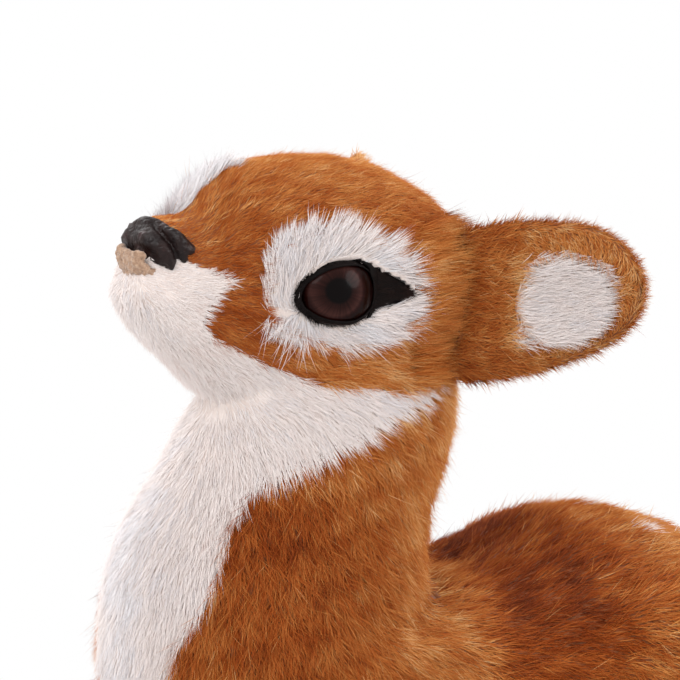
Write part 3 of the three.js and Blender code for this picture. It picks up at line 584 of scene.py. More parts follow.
def coat(name, roots, normals, ways, lengths, lifts, width, material, seed, tone=0.5, bends=0, body="body",
         spread=0.19, clump=0.55, white=None):
    """A coat of fur: the locks vary, draw together in clumps and streak along the way they lie.

    The ways, lengths, lifts and tones are one for each root, or one for all.
    """
    rng = np.random.default_rng(seed)
    count = len(roots)
    mm = roots / MM
    ways = unit(ways - (ways * normals).sum(1, keepdims=True) * normals)
    across = np.cross(normals, ways)
    sway = ripple(mm, 5.0, seed + 1) * 0.16 + ripple(mm, 2.2, seed + 2) * 0.5 * clump
    loose = rng.uniform(0, 1, count) < LOOSE_SHARE
    sway += rng.normal(0, spread, count) * np.where(loose, 2.5, 1)
    ways = unit(ways + across * sway[:, None])
    lifts = lifts * (1 + 0.28 * ripple(mm, 2.4, seed + 3) * clump) + rng.normal(0, math.radians(4), count)
    lifts += np.where(loose, math.radians(16), 0)
    lengths = lengths * rng.uniform(0.72, 1.15, count) * (1 + 0.1 * ripple(mm, 6.0, seed + 4))
    lengths = lengths * np.where(loose, 1.2, 1)
    upright = ways[:, 2] ** 2
    streaks = ripple(mm * (1, 1, 0.25), 2.2, seed + 5) * upright
    streaks += ripple(mm * (1, 0.3, 1), 2.6, seed + 6) * (1 - upright)
    tones = tone + 0.05 * ripple(mm, 13.0, seed + 7) + (0.08 + 0.13 * clump) * streaks + rng.normal(0, 0.11, count)
    widths = width * MM * rng.uniform(0.7, 1.3, count) * np.where(loose, 0.6, 1)
    lifts = np.clip(lifts, math.radians(3), math.radians(70))
    most = PIECE_TRIANGLES // (10 if bends else 4)
    order = np.argsort(roots[:, 0] + roots[:, 1] * 1e-3, kind="stable")
    parts = max(1, math.ceil(count / most))
    for part, index in enumerate(np.array_split(order, parts)):
        label = name if parts == 1 else f"{name}_{part + 1}"
        piece = locks(
            label, roots[index], normals[index], ways[index], lengths[index], lifts[index], widths[index],
            tones[index], material, bends, None if white is None else white[index],
        )
        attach(piece, body)


# Outlines on the head and the ears, as seen from the side, in mm

LINING = (
    (10.5, 5.6), (14.0, 6.6), (18.6, 6.6), (21.5, 5.0), (23.6, 4.4), (24.6, 2.0), (24.2, -0.4), (22.2, -3.2),
    (19.2, -5.4), (14.4, -6.8), (7.0, -7.6), (6.8, -6.0), (9.1, -2.4), (10.5, -1.1), (9.9, 1.3), (9.6, 3.2),
)
# The lining's front edge: places across the ear, and how far along it the edge is there
LINING_FRONT = ((-7.6, -6.0, -2.4, -1.1, 5.6), (7.0, 6.8, 9.1, 10.3, 10.2))

LID_RIM = (
    (-8.1, -0.2), (-6.2, 3.3), (-2.4, 5.4), (2.0, 5.2), (5.9, 3.0), (8.7, 1.2), (12.9, -1.2), (8.6, -1.6), (6.0, -2.9),
    (1.4, -4.9), (-5.0, -3.7),
)
EYE_OPENING = (
    (-6.9, -0.1), (-5.3, 2.8), (-2.0, 4.5), (2.3, 4.5), (5.1, 2.9), (6.1, 1.3), (6.5, -0.1), (6.2, -1.4), (5.2, -2.6),
    (1.3, -4.0), (-4.2, -3.0),
)

# The dome's height and how far down and up the eye reaches, and the height of the lid's plate from the
# head's middle, in mm, with the middle that the patch's fur grows out from
EYE_DOME = 4.6 * MM
EYE_LOW, EYE_HIGH = -4.3 * MM, 4.8 * MM
LID_LEVEL = 14.3
PATCH_MIDDLE = (0, -6.1, -2.2)
LID_PLATE = ((4.0, 5.6), (7.4, 3.2), (13.6, -1.2), (8.0, -3.2), (4.0, -5.0), (5.0, 0.0))


def rounded(outline, count):
    """A smooth closed curve through the outline's corners."""
    p = np.array(outline, float)
    t = np.linspace(0, len(p), count, endpoint=False)
    i, u = t.astype(int), (t % 1)[:, None]
    a, b, c, d = (p[(i + k) % len(p)] for k in (-1, 0, 1, 2))
    return 0.5 * (2 * b + (c - a) * u + (2 * a - 5 * b + 4 * c - d) * u**2 + (3 * b - a - 3 * c + d) * u**3)


def inside(points, outline):
    """Whether each flat point lies inside a closed outline."""
    corners = np.array(outline, float)
    hit = np.zeros(len(points), bool)
    for (ax, ay), (bx, by) in zip(corners, np.roll(corners, -1, 0)):
        crosses = (ay > points[:, 1]) != (by > points[:, 1])
        reach = (bx - ax) * (points[:, 1] - ay) / (by - ay if by != ay else 1e-9) + ax
        hit ^= crosses & (points[:, 0] < reach)
    return hit


# The figure's skin, cut into the panels of fur fabric

PANELS = {
    "head_pelt": ("head", brown_fur, brown_hide, "brown_fur"),
    "muzzle_pelt": ("muzzle", white_fur, white_hide, "white_fur"),
    "throat_and_bib_pelt": ("throat_and_bib", white_fur, white_hide, "white_fur"),
    "neck_pelt": ("neck", brown_fur, brown_hide, "brown_fur"),
    "back_pelt": ("back", brown_fur, brown_hide, "brown_fur"),
    "belly_pelt": ("belly", white_fur, white_hide, "white_fur"),
    "left_eye_patch_pelt": ("left_eye_patch", white_fur, white_hide, "white_fur"),
    "right_eye_patch_pelt": ("right_eye_patch", white_fur, white_hide, "white_fur"),
}
BARE = ("left_eye", "right_eye", "left_eyelid", "right_eyelid", "nose", "nose_pad")
SKIN_VOXEL = 0.9 * MM
HIDE_THICKNESS = 1.2
MOST_HIDE_FACES, KEPT_SHARE = 8000, 0.4

# How far from the head's middle the cheek's and the neck's brown may begin
CHEEK_SIDE, NECK_SIDE = 6 * MM, 8 * MM

# How much deeper the skin lies than the fur's rise, in mm
LOW_BACK_DEPTH = 0.6
NECK_FOOT_DEPTH, NECK_FOOT_SPREAD = 1.6, 90
LIP_DEPTH = 1.7

# Where the white patches end, and where the brown of the cheek and the neck begins, as y and z in mm
PATCH_ROOTS = (
    (-41.2, 86.0), (-41.2, 92.0), (-39.4, 95.6), (-35.0, 97.2), (-28.0, 98.0), (-21.5, 94.8), (-17.5, 91.4),
    (-14.8, 88.2), (-13.6, 84.8), (-15.6, 81.6), (-21.0, 79.0), (-28.0, 78.7), (-34.0, 80.6), (-38.5, 82.8),
)
CHEEK_ROOTS = (
    (-46.8, 90.6), (-48.4, 88.4), (-49.8, 86.0), (-50.2, 83.8), (-49.0, 81.8), (-45.4, 79.8), (-40.3, 76.7),
    (-34.5, 74.2), (-27.0, 72.8), (-17.9, 71.9), (-8.4, 71.2), (-8.4, 80.0), (-35.0, 84.0), (-44.0, 91.0),
)
NECK_ROOTS = (
    (-42.0, 58.5), (-38.6, 61.0), (-35.3, 62.7), (-32.2, 63.4), (-28.7, 64.3), (-25.9, 65.3), (-23.0, 66.5),
    (-19.8, 67.5), (-16.7, 68.2), (-13.0, 68.8), (-13.0, 55.0), (-42.0, 50.0),
)


def past_bridge(y, z):
    """How far places on the nose, in mm, lie behind the edge of the bridge's fur."""
    return 0.74 * (y + 53.9) + 0.67 * (z - 100)


def grows(point, outline):
    """Whether this place on the side of the head lies inside an outline of roots."""
    return bool(inside(np.array([[point.y / MM, point.z / MM]]), outline)[0])


@made_once
def figure_skin():
    """The skin that the fur grows on, and the name of the CAD piece that each face belongs to."""
    skin = remeshed(merged_copy(*PANELS, *BARE, "body_foam", "head_foam"), SKIN_VOXEL)
    trees = {}
    for node in (*PANELS, *BARE):
        bm = merged_copy(node)
        trees[node] = BVHTree.FromBMesh(bm)
        bm.free()
    skin.faces.ensure_lookup_table()
    owner = []
    for face in skin.faces:
        centre = face.calc_center_median()
        node = min(trees, key=lambda node: trees[node].find_nearest(centre)[3])
        if node.endswith("patch_pelt") and not grows(centre, PATCH_ROOTS):
            node = "head_pelt"
        chin = node in ("muzzle_pelt", "throat_and_bib_pelt")
        if chin and abs(centre.x) > CHEEK_SIDE and grows(centre, CHEEK_ROOTS):
            node = "head_pelt"
        if node == "throat_and_bib_pelt" and abs(centre.x) > NECK_SIDE and grows(centre, NECK_ROOTS):
            node = "neck_pelt"
        if node == "nose" and past_bridge(centre.y / MM, centre.z / MM) > 0:
            node = "head_pelt"
        owner.append(node)
    points = places(skin)
    _, lengths, lifts, _ = guided(points)
    lip = np.linalg.norm((points / MM - LIP_MIDDLE) / LIP_REACH, axis=1)
    low_back = LOW_BACK_DEPTH * np.clip(points[:, 1] / (4 * MM), 0, 1) * np.clip((points[:, 2] / MM - 33) / 3, 0, 1)
    low_back += NECK_FOOT_DEPTH * np.exp(-((points / MM - NECK_FOOT) ** 2).sum(1) / NECK_FOOT_SPREAD)
    sunk(skin, lengths * np.sin(lifts) * FUR_RISE + (low_back + np.clip(1.6 - lip, 0, 1) * LIP_DEPTH) * MM)
    return skin, np.array(owner)


def panel_of(node):
    """The faces of one panel as a bmesh of their own."""
    skin, owner = figure_skin()
    panel = skin.copy()
    panel.faces.ensure_lookup_table()
    others = [f for f in panel.faces if owner[f.index] != node]
    bmesh.ops.delete(panel, geom=others, context="FACES")
    return panel


def rooted(node, density, seed):
    """Roots sown on one panel, with their normals."""
    panel = panel_of(node)
    roots, normals = sown(panel, density_of(density), seed)
    panel.free()
    return roots, normals


def hide_piece(node):
    """Makes the fabric of one panel: its part of the skin, given a thickness inwards."""
    label, _, hide, slot = PANELS[node]
    panel = panel_of(node)
    inwards = panel.verts.layers.float_vector.new("inwards")
    for vert in panel.verts:
        vert[inwards] = vert.normal * -HIDE_THICKNESS * MM
    made = bmesh.ops.extrude_face_region(panel, geom=panel.faces[:], use_keep_orig=True)
    for vert in made["geom"]:
        if isinstance(vert, bmesh.types.BMVert):
            vert.co += vert[inwards]
    bmesh.ops.recalc_face_normals(panel, faces=panel.faces)
    piece = piece_from(panel, f"{label}_hide", hide())
    if len(piece.data.polygons) > MOST_HIDE_FACES:
        lightened(piece, KEPT_SHARE)
    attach(piece, "body")
    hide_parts(node)


def eye_centre(side):
    """The outermost point of the eye's dome."""
    low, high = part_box("left_eye" if side > 0 else "right_eye")
    return np.array([(high.x if side > 0 else low.x), (low.y + high.y) / 2, (low.z + high.z) / 2])


# Settings that a user would change

class FurSettings(bpy.types.PropertyGroup):
    head_density: FloatProperty(name="Head density", description="Locks on each square mm of the head", default=17)
    neck_density: FloatProperty(
        name="Neck density", description="Locks on each square mm of the neck and chest", default=12
    )
    patch_density: FloatProperty(
        name="Eye patch density", description="Locks on each square mm round the eyes", default=26
    )
    back_density: FloatProperty(name="Back density", description="Locks on each square mm of the back", default=6.2)
    limb_density: FloatProperty(name="Leg density", description="Locks on each square mm of the legs", default=5)
    ear_density: FloatProperty(name="Ear density", description="Locks on each square mm of the ears", default=17)


class FaceSettings(bpy.types.PropertyGroup):
    iris_diameter: FloatProperty(name="Iris", description="Diameter of the iris", default=9.2 * MM, unit="LENGTH")
    pupil_width: FloatProperty(name="Pupil width", description="Width of the pupil", default=4.6 * MM, unit="LENGTH")
    pupil_height: FloatProperty(
        name="Pupil height", description="Height of the pupil", default=4.2 * MM, unit="LENGTH"
    )


class StageSettings(bpy.types.PropertyGroup):
    floor_colour: FloatVectorProperty(
        name="Floor", description="Colour of the floor", subtype="COLOR", default=(0.86, 0.86, 0.86)
    )
    key_power: FloatProperty(name="Key light", description="Power of the main light", default=5.2, unit="POWER")
    fill_power: FloatProperty(name="Fill light", description="Power of the second light", default=2.6, unit="POWER")


class DeerSettings(bpy.types.PropertyGroup):
    fur: PointerProperty(type=FurSettings)
    face: PointerProperty(type=FaceSettings)
    stage: PointerProperty(type=StageSettings)


def density_of(value):
    """Locks on each square mm, as given."""
    return value * 1.0


def width_of(value):
    """A lock's width in mm, as given."""
    return value * 1.0


# The stage

def aimed(thing, place, target):
    """Puts a camera or a light at a place, turned to its target."""
    thing.location = place
    thing.rotation_euler = (Vector(target) - Vector(place)).to_track_quat("-Z", "Y").to_euler()


def area_light(name, place, size, power):
    data = bpy.data.lights.new(name, "AREA")
    data.shape = "DISK"
    data.size = size
    data.energy = power
    light = bpy.data.objects.new(name, data)
    bpy.context.scene.collection.objects.link(light)
    aimed(light, place, LIGHT_TARGET)


def background_rays(tree):
    """1 for each ray that sees the plain background: the camera's own, mirrored and refracted ones."""
    rays = tree.nodes.new("ShaderNodeLightPath")
    seen = rays.outputs["Is Camera Ray"]
    for kind in ("Is Glossy Ray", "Is Transmission Ray"):
        most = tree.nodes.new("ShaderNodeMath")
        most.operation = "MAXIMUM"
        tree.links.new(seen, most.inputs[0])
        tree.links.new(rays.outputs[kind], most.inputs[1])
        seen = most.outputs[0]
    return seen


CAMERA_PLACE = (0.515119, -0.317412, 0.208426)
CAMERA_TARGET = (0.007821, -0.024524, 0.078562)
CAMERA_LENS = 198.5
SENSOR_WIDTH = 36
LIGHT_TARGET = (0, 0, 0.06)
WORLD_LEVEL = 0.68
FLOOR_RADIUS = 6
FOOTPRINT = (0.12, 0.18)


class DEER_OT_stage(bpy.types.Operator):
    """Sets the camera, the lights, the pale floor and the white surroundings"""

    bl_idname = "deer.stage"
    bl_label = "Stage"

    def execute(self, context):
        stage = settings().stage
        scene = context.scene
        scene.view_settings.view_transform = "Standard"
        camera = bpy.data.objects.new("camera", bpy.data.cameras.new("camera"))
        scene.collection.objects.link(camera)
        camera.data.lens = CAMERA_LENS
        camera.data.sensor_width = SENSOR_WIDTH
        camera.data.clip_start = 0.01
        aimed(camera, CAMERA_PLACE, CAMERA_TARGET)
        scene.camera = camera
        # Name, place, diameter and power
        area_light("key_light", (0.2, -0.58, 0.68), 0.7, stage.key_power)
        area_light("fill_light", (0.5, 0.46, 0.32), 0.44, stage.fill_power)
        area_light("side_light", (-0.5, -0.05, 0.5), 0.5, stage.fill_power * 0.75)

        world = bpy.data.worlds.new("surroundings")
        scene.world = world
        world.use_nodes = True
        nodes, links = world.node_tree.nodes, world.node_tree.links
        level = nodes.new("ShaderNodeMapRange")
        level.inputs["To Min"].default_value = WORLD_LEVEL
        level.inputs["To Max"].default_value = 1.0
        links.new(background_rays(world.node_tree), level.inputs["Value"])
        links.new(level.outputs["Result"], nodes["Background"].inputs["Strength"])
        nodes["Background"].inputs["Color"].default_value = (1, 1, 1, 1)

        bm = bmesh.new()
        bmesh.ops.create_circle(bm, cap_ends=True, segments=96, radius=FLOOR_RADIUS)
        bmesh.ops.translate(bm, vec=(0, 0, -0.0002), verts=bm.verts)
        floor = piece_from(bm, "floor", floor_paper(), smooth=False)
        return {"FINISHED"}


def floor_paper():
    """Pale paper that keeps the shadow near the toy and runs out to plain white."""
    shader = Shader("floor_paper")
    shader.set(Base_Color=(*settings().stage.floor_colour, 1), Roughness=0.9)
    place = shader.node("ShaderNodeTexCoord")
    footprint = shader.node("ShaderNodeMapping", Scale=(1 / FOOTPRINT[0], 1 / FOOTPRINT[1], 1))
    shader.link(place.outputs["Object"], footprint.inputs["Vector"])
    length = shader.node("ShaderNodeVectorMath", operation="LENGTH")
    shader.link(footprint.outputs["Vector"], length.inputs[0])
    far = shader.ramp(length.outputs["Value"], [(0.46, 0.0), (0.62, 1.0)])
    factor = shader.node("ShaderNodeMath", operation="MULTIPLY")
    shader.link(far, factor.inputs[0])
    shader.link(background_rays(shader.tree), factor.inputs[1])
    glow = shader.node("ShaderNodeEmission")
    mix = shader.node("ShaderNodeMixShader")
    shader.link(factor.outputs[0], mix.inputs[0])
    shader.link(shader.surface.outputs[0], mix.inputs[1])
    shader.link(glow.outputs[0], mix.inputs[2])
    shader.link(mix.outputs[0], shader.tree.nodes["Material Output"].inputs["Surface"])
    return shader.material


# The pieces inside

CORE_DEPTH = 0.4 * MM


class DEER_OT_cores(bpy.types.Operator):
    """Makes the foam cores of the head and the body, and finishes the dowel between them"""

    bl_idname = "deer.cores"
    bl_label = "Foam cores and dowel"

    def execute(self, context):
        for node, label, voxel in (("body_foam", "body_core", 2.0), ("head_foam", "head_core", 1.4)):
            skin = remeshed(merged_copy(node), voxel * MM, 3)
            sunk(skin, CORE_DEPTH)
            core = piece_from(skin, label, core_foam())
            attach(core, "body")
            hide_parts(node)
        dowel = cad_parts["neck_dowel"]
        dowel.data.materials.clear()
        dowel.data.materials.append(dowel_wood())
        return {"FINISHED"}


class DEER_OT_hides(bpy.types.Operator):
    """Cuts the fabric panels that cover the head, neck and body"""

    bl_idname = "deer.hides"
    bl_label = "Fabric panels"

    def execute(self, context):
        for node in PANELS:
            hide_piece(node)
        return {"FINISHED"}


class DEER_OT_body_fur(bpy.types.Operator):
    """Grows the fur of the head, throat, neck, back and belly"""

    bl_idname = "deer.body_fur"
    bl_label = "Fur of the head and body"

    def execute(self, context):
        fur = settings().fur
        # Panel, locks on each square mm, width in mm, spread of the ways, strength of the clumps, seed
        rows = (
            ("head_pelt", fur.head_density, 0.08, 0.26, 0.55, 11),
            ("muzzle_pelt", fur.head_density, 0.08, 0.2, 0.4, 12),
            ("throat_and_bib_pelt", fur.neck_density, 0.095, 0.16, 0.35, 13),
            ("neck_pelt", fur.neck_density, 0.095, 0.36, 1.1, 14),
            ("back_pelt", fur.back_density, 0.125, 0.28, 0.8, 15),
            ("belly_pelt", fur.limb_density * 0.4, 0.25, 0.2, 0.5, 16),
        )
        for node, density, width, spread, clump, seed in rows:
            label, material, _, slot = PANELS[node]
            roots, normals = rooted(node, density, seed)
            ways, lengths, lifts, tones = guided(roots)
            white = fawn_spots(roots) if node == "back_pelt" else None
            if node == "head_pelt":
                white = far_brow(roots)
                ways[white] = (0.15, 0, 1)
                lengths[white] = BROW_LENGTH
                lifts[white] = BROW_LIFT
                # Painted light: the far brow takes a set pale, cool white, so that it reads bright though it faces
                # away from the key light
                tones[white] = 0.95
            coat(
                f"{label}_fur", roots, normals, ways, lengths, lifts, width_of(width), material(), seed * 10,
                tone=tones, white=white, spread=spread, clump=clump,
            )
            if label in ("head", "neck", "back"):
                # Painted highlight: the stray hairs take a light tan tone, for the light that catches loose hairs
                stray = np.random.default_rng(seed).choice(len(roots), STRAYS, replace=False)
                coat(
                    f"{label}_strays", roots[stray], normals[stray], ways[stray], lengths[stray] * 1.25,
                    lifts[stray] * 1.5, 0.035, material(), seed * 100, tone=0.85, bends=1, spread=0.8,
                )
        return {"FINISHED"}


# The white spots of one side of the back, mirrored to the other: places and radii in mm
SPOTS = (
    (9, 33.5, 41.3, 2.4),
    (7, 44, 38, 2.5),
    (7, 54, 33, 2.4),
    (16, 39, 37, 2.5),
    (16, 50, 33, 2.4),
    (24, 33, 33, 2.4),
    (25, 44, 29, 2.5),
    (22, 55, 25, 2.2),
    (31, 38, 24, 2.3),
    (30, 50, 19, 2.1),
)


BROW_SIDE, BROW_FRONT, BROW_REAR, BROW_LOW = -0.9, -49.5, -38.5, 91.5
BROW_LENGTH = 4.6 * MM
BROW_LIFT = math.radians(27)


def far_brow(roots):
    """Whether each root belongs to the white brow that shows past the bridge on the right side."""
    x, y, z = roots.T / MM
    wave = ripple(roots / MM, 3.5, 61)
    return (x < BROW_SIDE + 1.3 * wave) & (y < BROW_REAR - wave) & (y > BROW_FRONT) & (z > BROW_LOW + wave)


def fawn_spots(roots):
    """Whether each root lies in one of the white spots on the back."""
    here = np.column_stack([np.abs(roots[:, 0]), roots[:, 1], roots[:, 2]]) / MM
    table = np.array(SPOTS, float)
    apart = np.linalg.norm(here[:, None] - table[None, :, :3], axis=2) + 0.5 * ripple(here, 1.5, 5)[:, None]
    return (apart < table[None, :, 3]).any(1)


class DEER_OT_eye_patches(bpy.types.Operator):
    """Grows the ragged white fur that spreads out round each eye, with its whiskers"""

    bl_idname = "deer.eye_patches"
    bl_label = "Fur round the eyes"

    def execute(self, context):
        for name, side in SIDES:
            centre = eye_centre(side)
            roots, normals = rooted(f"{name}_eye_patch_pelt", settings().fur.patch_density, 21)
            clear = ~inside((roots - centre)[:, 1:] / MM, LID_RIM)
            corner = self.corner_roots(side, centre)
            roots = np.concatenate([roots[clear], corner])
            normals = np.concatenate([normals[clear], np.tile([side, 0.0, 0.0], (len(corner), 1))])
            away = roots - centre - np.array(PATCH_MIDDLE) * MM
            away[:, 0] = 0
            reach = np.linalg.norm(away, axis=1) / MM
            ways = unit(away) + np.array([0, 0.2, 0])
            front = np.clip((-34.5 - roots[:, 1] / MM) / 4, 0, 1) * np.sign(away[:, 2] + 1e-9)
            ways += front[:, None] * np.array([0, 0.15, 1.1])
            ways[:, 1] += np.abs(front) * 0.35
            lengths = np.clip(2.6 + 0.16 * reach, 2.8, 4.8) * MM * (1 + 0.22 * ripple(roots / MM, 5.0, 24))
            coat(
                f"{name}_eye_patch_fur", roots, normals, ways, lengths, math.radians(13), width_of(0.07), white_fur(),
                210, tone=0.72, bends=1, spread=0.12, clump=0.6,
            )
            self.tufts(name, side, roots, normals)
        return {"FINISHED"}

    def corner_roots(self, side, centre):
        """Roots on the lid's plate, where white fur narrows its rear corner."""
        flat = np.random.default_rng(22).uniform((4, -5), (13.6, 5), (2500, 2))
        flat = flat[inside(flat, LID_PLATE) & ~inside(flat, LID_RIM)]
        level = LID_LEVEL + 0.05 - np.clip((flat[:, 0] - 5) * 0.5, 0, 1)
        return np.column_stack([side * level, flat]) * MM + (0, *centre[1:])

    def tufts(self, name, side, roots, normals):
        """The brow's long hairs, which stand up beside the bridge, and the whiskers under the eye."""
        mm = roots / MM
        rng = np.random.default_rng(23)
        brow = (mm[:, 1] < -29) & (mm[:, 2] > 92.5)
        brow &= rng.uniform(0, 1, len(mm)) < (0.9 if side < 0 else 0.2)
        reach, lift = (5.0, 32) if side < 0 else (4.0, 20)
        coat(
            f"{name}_brow_fur", roots[brow], normals[brow], (-0.2 * side, -0.5, 1.0), reach * MM, math.radians(lift),
            width_of(0.08), white_fur(), 220, tone=0.9,
        )
        low = np.flatnonzero((mm[:, 1] < -33) & (mm[:, 2] < 86))
        low = rng.choice(low, min(36, len(low)), replace=False)
        ways = np.column_stack([np.zeros(len(low)), rng.uniform(-1, 0.5, len(low)), np.full(len(low), -1.0)])
        coat(
            f"{name}_whiskers", roots[low], normals[low], ways, rng.uniform(5, 8.5, len(low)) * MM,
            math.radians(24), 0.05, white_fur(), 230, tone=0.8, bends=1, spread=0.3,
        )


class DEER_OT_eyes(bpy.types.Operator):
    """Makes the glossy plastic eyes"""

    bl_idname = "deer.eyes"
    bl_label = "Eyes"

    def execute(self, context):
        for name, side in SIDES:
            node = f"{name}_eye"
            low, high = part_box(node)
            centre = eye_centre(side)
            rim = (high.y - low.y) / 2
            bm = bmesh.new()
            start = bm.verts.new((0, 0, EYE_DOME))
            arc = bmesh.ops.spin(
                bm, geom=[start], cent=(0, 0, 0), axis=(0, 1, 0), angle=math.pi / 2, steps=14, use_merge=False
            )
            end = arc["geom_last"][0]
            foot = bm.verts.new((0, 0, 0))
            bm.edges.new((end, foot))
            bmesh.ops.scale(bm, vec=(rim / EYE_DOME, 1, 1), verts=bm.verts)
            bmesh.ops.spin(
                bm, geom=bm.edges[:], cent=(0, 0, 0), axis=(0, 0, 1), angle=2 * math.pi, steps=48, use_merge=True
            )
            bmesh.ops.remove_doubles(bm, verts=bm.verts, dist=1e-6)
            bmesh.ops.recalc_face_normals(bm, faces=bm.faces)
            turn = Vector((0, 0, 1)).rotation_difference(Vector((side, 0, 0))).to_matrix()
            bmesh.ops.rotate(bm, cent=(0, 0, 0), matrix=turn, verts=bm.verts)
            for vert in bm.verts:
                kept = min(max(vert.co.z, EYE_LOW), EYE_HIGH)
                vert.co.z = kept + (vert.co.z - kept) * 0.2
            bmesh.ops.translate(bm, vec=Vector(centre) - Vector((side * EYE_DOME, 0, 0)), verts=bm.verts)
            eye = piece_from(bm, f"{name}_glass_eye", eye_material(f"{name}_eye_glass", centre))
            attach(eye, "body")
            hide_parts(node)
        return {"FINISHED"}


EYE_RADIUS = 6.7 * MM

# From this far behind the eye's middle the lid slants inwards, at this slope and at most by this much
LID_REAR, LID_SLOPE, LID_SLANT = 5 * MM, 0.5, 1.0 * MM
LASH_WIDTH = 0.06

# The rim's section: how far it has come from the lid's edge to the opening, and how proud it is in mm
RIM_PROFILE = ((0, -0.6), (0.08, 0.1), (0.35, 0.4), (0.7, 0.45), (0.95, 0.3), (1, -0.2))


class DEER_OT_eyelids(bpy.types.Operator):
    """Makes the black almond lids round the eyes"""

    bl_idname = "deer.eyelids"
    bl_label = "Eyelids"

    def execute(self, context):
        for name, side in SIDES:
            node = f"{name}_eyelid"
            bm = remeshed(merged_copy(node), 0.3 * MM, 3)
            rear = eye_centre(side)[1] + LID_REAR
            for vert in bm.verts:
                vert.co.x -= side * min(max(vert.co.y - rear, 0) * LID_SLOPE, LID_SLANT)
            self.rim(bm, side)
            lid = piece_from(bm, f"{name}_lid", lid_leather())
            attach(lid, "body")
            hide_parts(node)
            self.lashes(name, side)
        return {"FINISHED"}

    def lashes(self, name, side):
        """Short black fur round the lid, which hides its edge."""
        rng = np.random.default_rng(25)
        outline = rounded(LID_RIM, 900) * MM
        outline = outline[rng.uniform(0, 1, 900) < (1)]
        flat = outline * rng.uniform(0.9, 1.02, (len(outline), 1))
        wedge = rng.uniform((4.5, -4), (12.5, 4), (1600, 2))
        wedge = wedge[inside(wedge, LID_RIM) & ~inside(wedge, EYE_OPENING)] * MM
        flat, outline = np.concatenate([flat, wedge]), np.concatenate([outline, wedge])
        rear = np.clip(outline[:, 0] / (12 * MM), 0, 1)
        normals = np.tile([side, 0.0, 0.0], (len(flat), 1))
        level = side * (LID_LEVEL + 0.45) * MM
        roots = np.column_stack([np.full(len(flat), level), flat]) + (0, *eye_centre(side)[1:])
        ways = np.column_stack([np.zeros(len(flat)), outline]) / (6 * MM) + (0, 0.8, -0.1)
        coat(
            f"{name}_lashes", roots, normals, ways, (1.1 + 1.1 * rear) * MM, math.radians(14), LASH_WIDTH,
            black_fur(), 250, tone=0.35 + 0.35 * rear, spread=0.35,
        )

    def rim(self, bm, side):
        """A narrow rim that lies on the plate outside and on the dome of the eye inside."""
        centre = eye_centre(side)
        outer, inner = rounded(LID_RIM, 72) * MM, rounded(EYE_OPENING, 72) * MM
        loops = []
        for share, proud in RIM_PROFILE:
            ring = []
            for y, z in outer + (inner - outer) * share:
                away = min((y * y + z * z) / EYE_RADIUS**2, 1)
                on_dome = centre[0] * side - EYE_DOME * (1 - math.sqrt(1 - away))
                level = max(on_dome, LID_LEVEL * MM) + proud * MM
                ring.append(bm.verts.new((side * level, centre[1] + y, centre[2] + z)))
            loops.append([bm.edges.new((ring[i - 1], ring[i])) for i in range(len(ring))])
        for first, second in zip(loops, loops[1:] + loops[:1]):
            bmesh.ops.bridge_loops(bm, edges=first + second)
        bmesh.ops.recalc_face_normals(bm, faces=bm.faces)


NOSTRIL = (4.2, -56.5, 95.2)
NOSE_TIP = Vector((0, -57.5, 98.8)) * MM
NOSE_GROWTH = (1.08, 1.1, 1.14)
PAD_MIDDLE = Vector((0, -56, 93.2)) * MM
PAD_SHIFT = Vector((0.9, -0.5, -0.5)) * MM
PAD_GROWTH = (0.84, 0.84, 0.84)


def grown(bm, middle, growth, shift=(0, 0, 0)):
    """Scales the shape about a point, and then moves it."""
    bmesh.ops.translate(bm, vec=-middle, verts=bm.verts)
    bmesh.ops.scale(bm, vec=growth, verts=bm.verts)
    bmesh.ops.translate(bm, vec=middle + Vector(shift), verts=bm.verts)


class DEER_OT_nose(bpy.types.Operator):
    """Makes the wrinkled nose and the rough flocked pad below it"""

    bl_idname = "deer.nose"
    bl_label = "Nose"

    def execute(self, context):
        bm = remeshed(merged_copy("nose"), 0.3 * MM, 3)
        mm = places(bm) / MM
        # Folds, the step up to the bridge's fur, the nostrils and the crease beside them, as depths in mm
        folds = 0.4 * ripple(mm, 3.4, 71) + 0.16 * np.abs(ripple(mm, 1.3, 72))
        folds += np.clip(past_bridge(mm[:, 1], mm[:, 2]) / 1.5, 0, 1) * 1.8
        apart = np.linalg.norm(np.column_stack([np.abs(mm[:, 0]), mm[:, 1], mm[:, 2]]) - NOSTRIL, axis=1)
        folds += 1.0 * np.exp(-((apart / 1.3) ** 2))
        crease = (mm[:, 1] + 54.0 + 0.35 * (mm[:, 2] - 96)) / 0.6
        folds += 1.0 * np.exp(-(crease**2)) * np.clip((np.abs(mm[:, 0]) - 1) / 2, 0, 1)
        sunk(bm, (folds + 0.1) * MM)
        # The lobes at the nose's lower rear corners
        lobe = np.clip((mm[:, 1] + 53) / 3, 0, 1) * np.clip((96 - mm[:, 2]) / 3, 0, 1) * MM
        for vert, grow in zip(bm.verts, lobe):
            vert.co += Vector((math.copysign(0.3, vert.co.x), 0.7, -0.9)) * float(grow)
        grown(bm, NOSE_TIP, NOSE_GROWTH)
        nose = piece_from(bm, "moulded_nose", nose_rubber())
        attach(nose, "body")
        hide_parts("nose")

        bm = remeshed(merged_copy("nose_pad"), 0.25 * MM, 2)
        mm = places(bm) / MM
        sunk(bm, (0.22 * ripple(mm, 1.3, 81) + 0.12 * ripple(mm, 0.6, 82) - 0.55) * MM)
        for vert in bm.verts:
            vert.co.z += 0.03 * vert.co.x**2 / MM
        grown(bm, PAD_MIDDLE, PAD_GROWTH, PAD_SHIFT)
        pad = piece_from(bm, "flocked_pad", sand_flock())
        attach(pad, "body")
        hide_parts("nose_pad")
        return {"FINISHED"}


# The ears

EAR_ROOT = (13.2, -4.89, 83.19)
RIGHT_EAR_LIFT = 2
EAR_ANGLES = {1: (45, 10), -1: (19, 14)}
EAR_MIDDLE, EAR_RADIUS = 15, 13 * MM
CROWN_MIDDLE, CROWN_RADIUS = (-8, -7, 102.5), 9

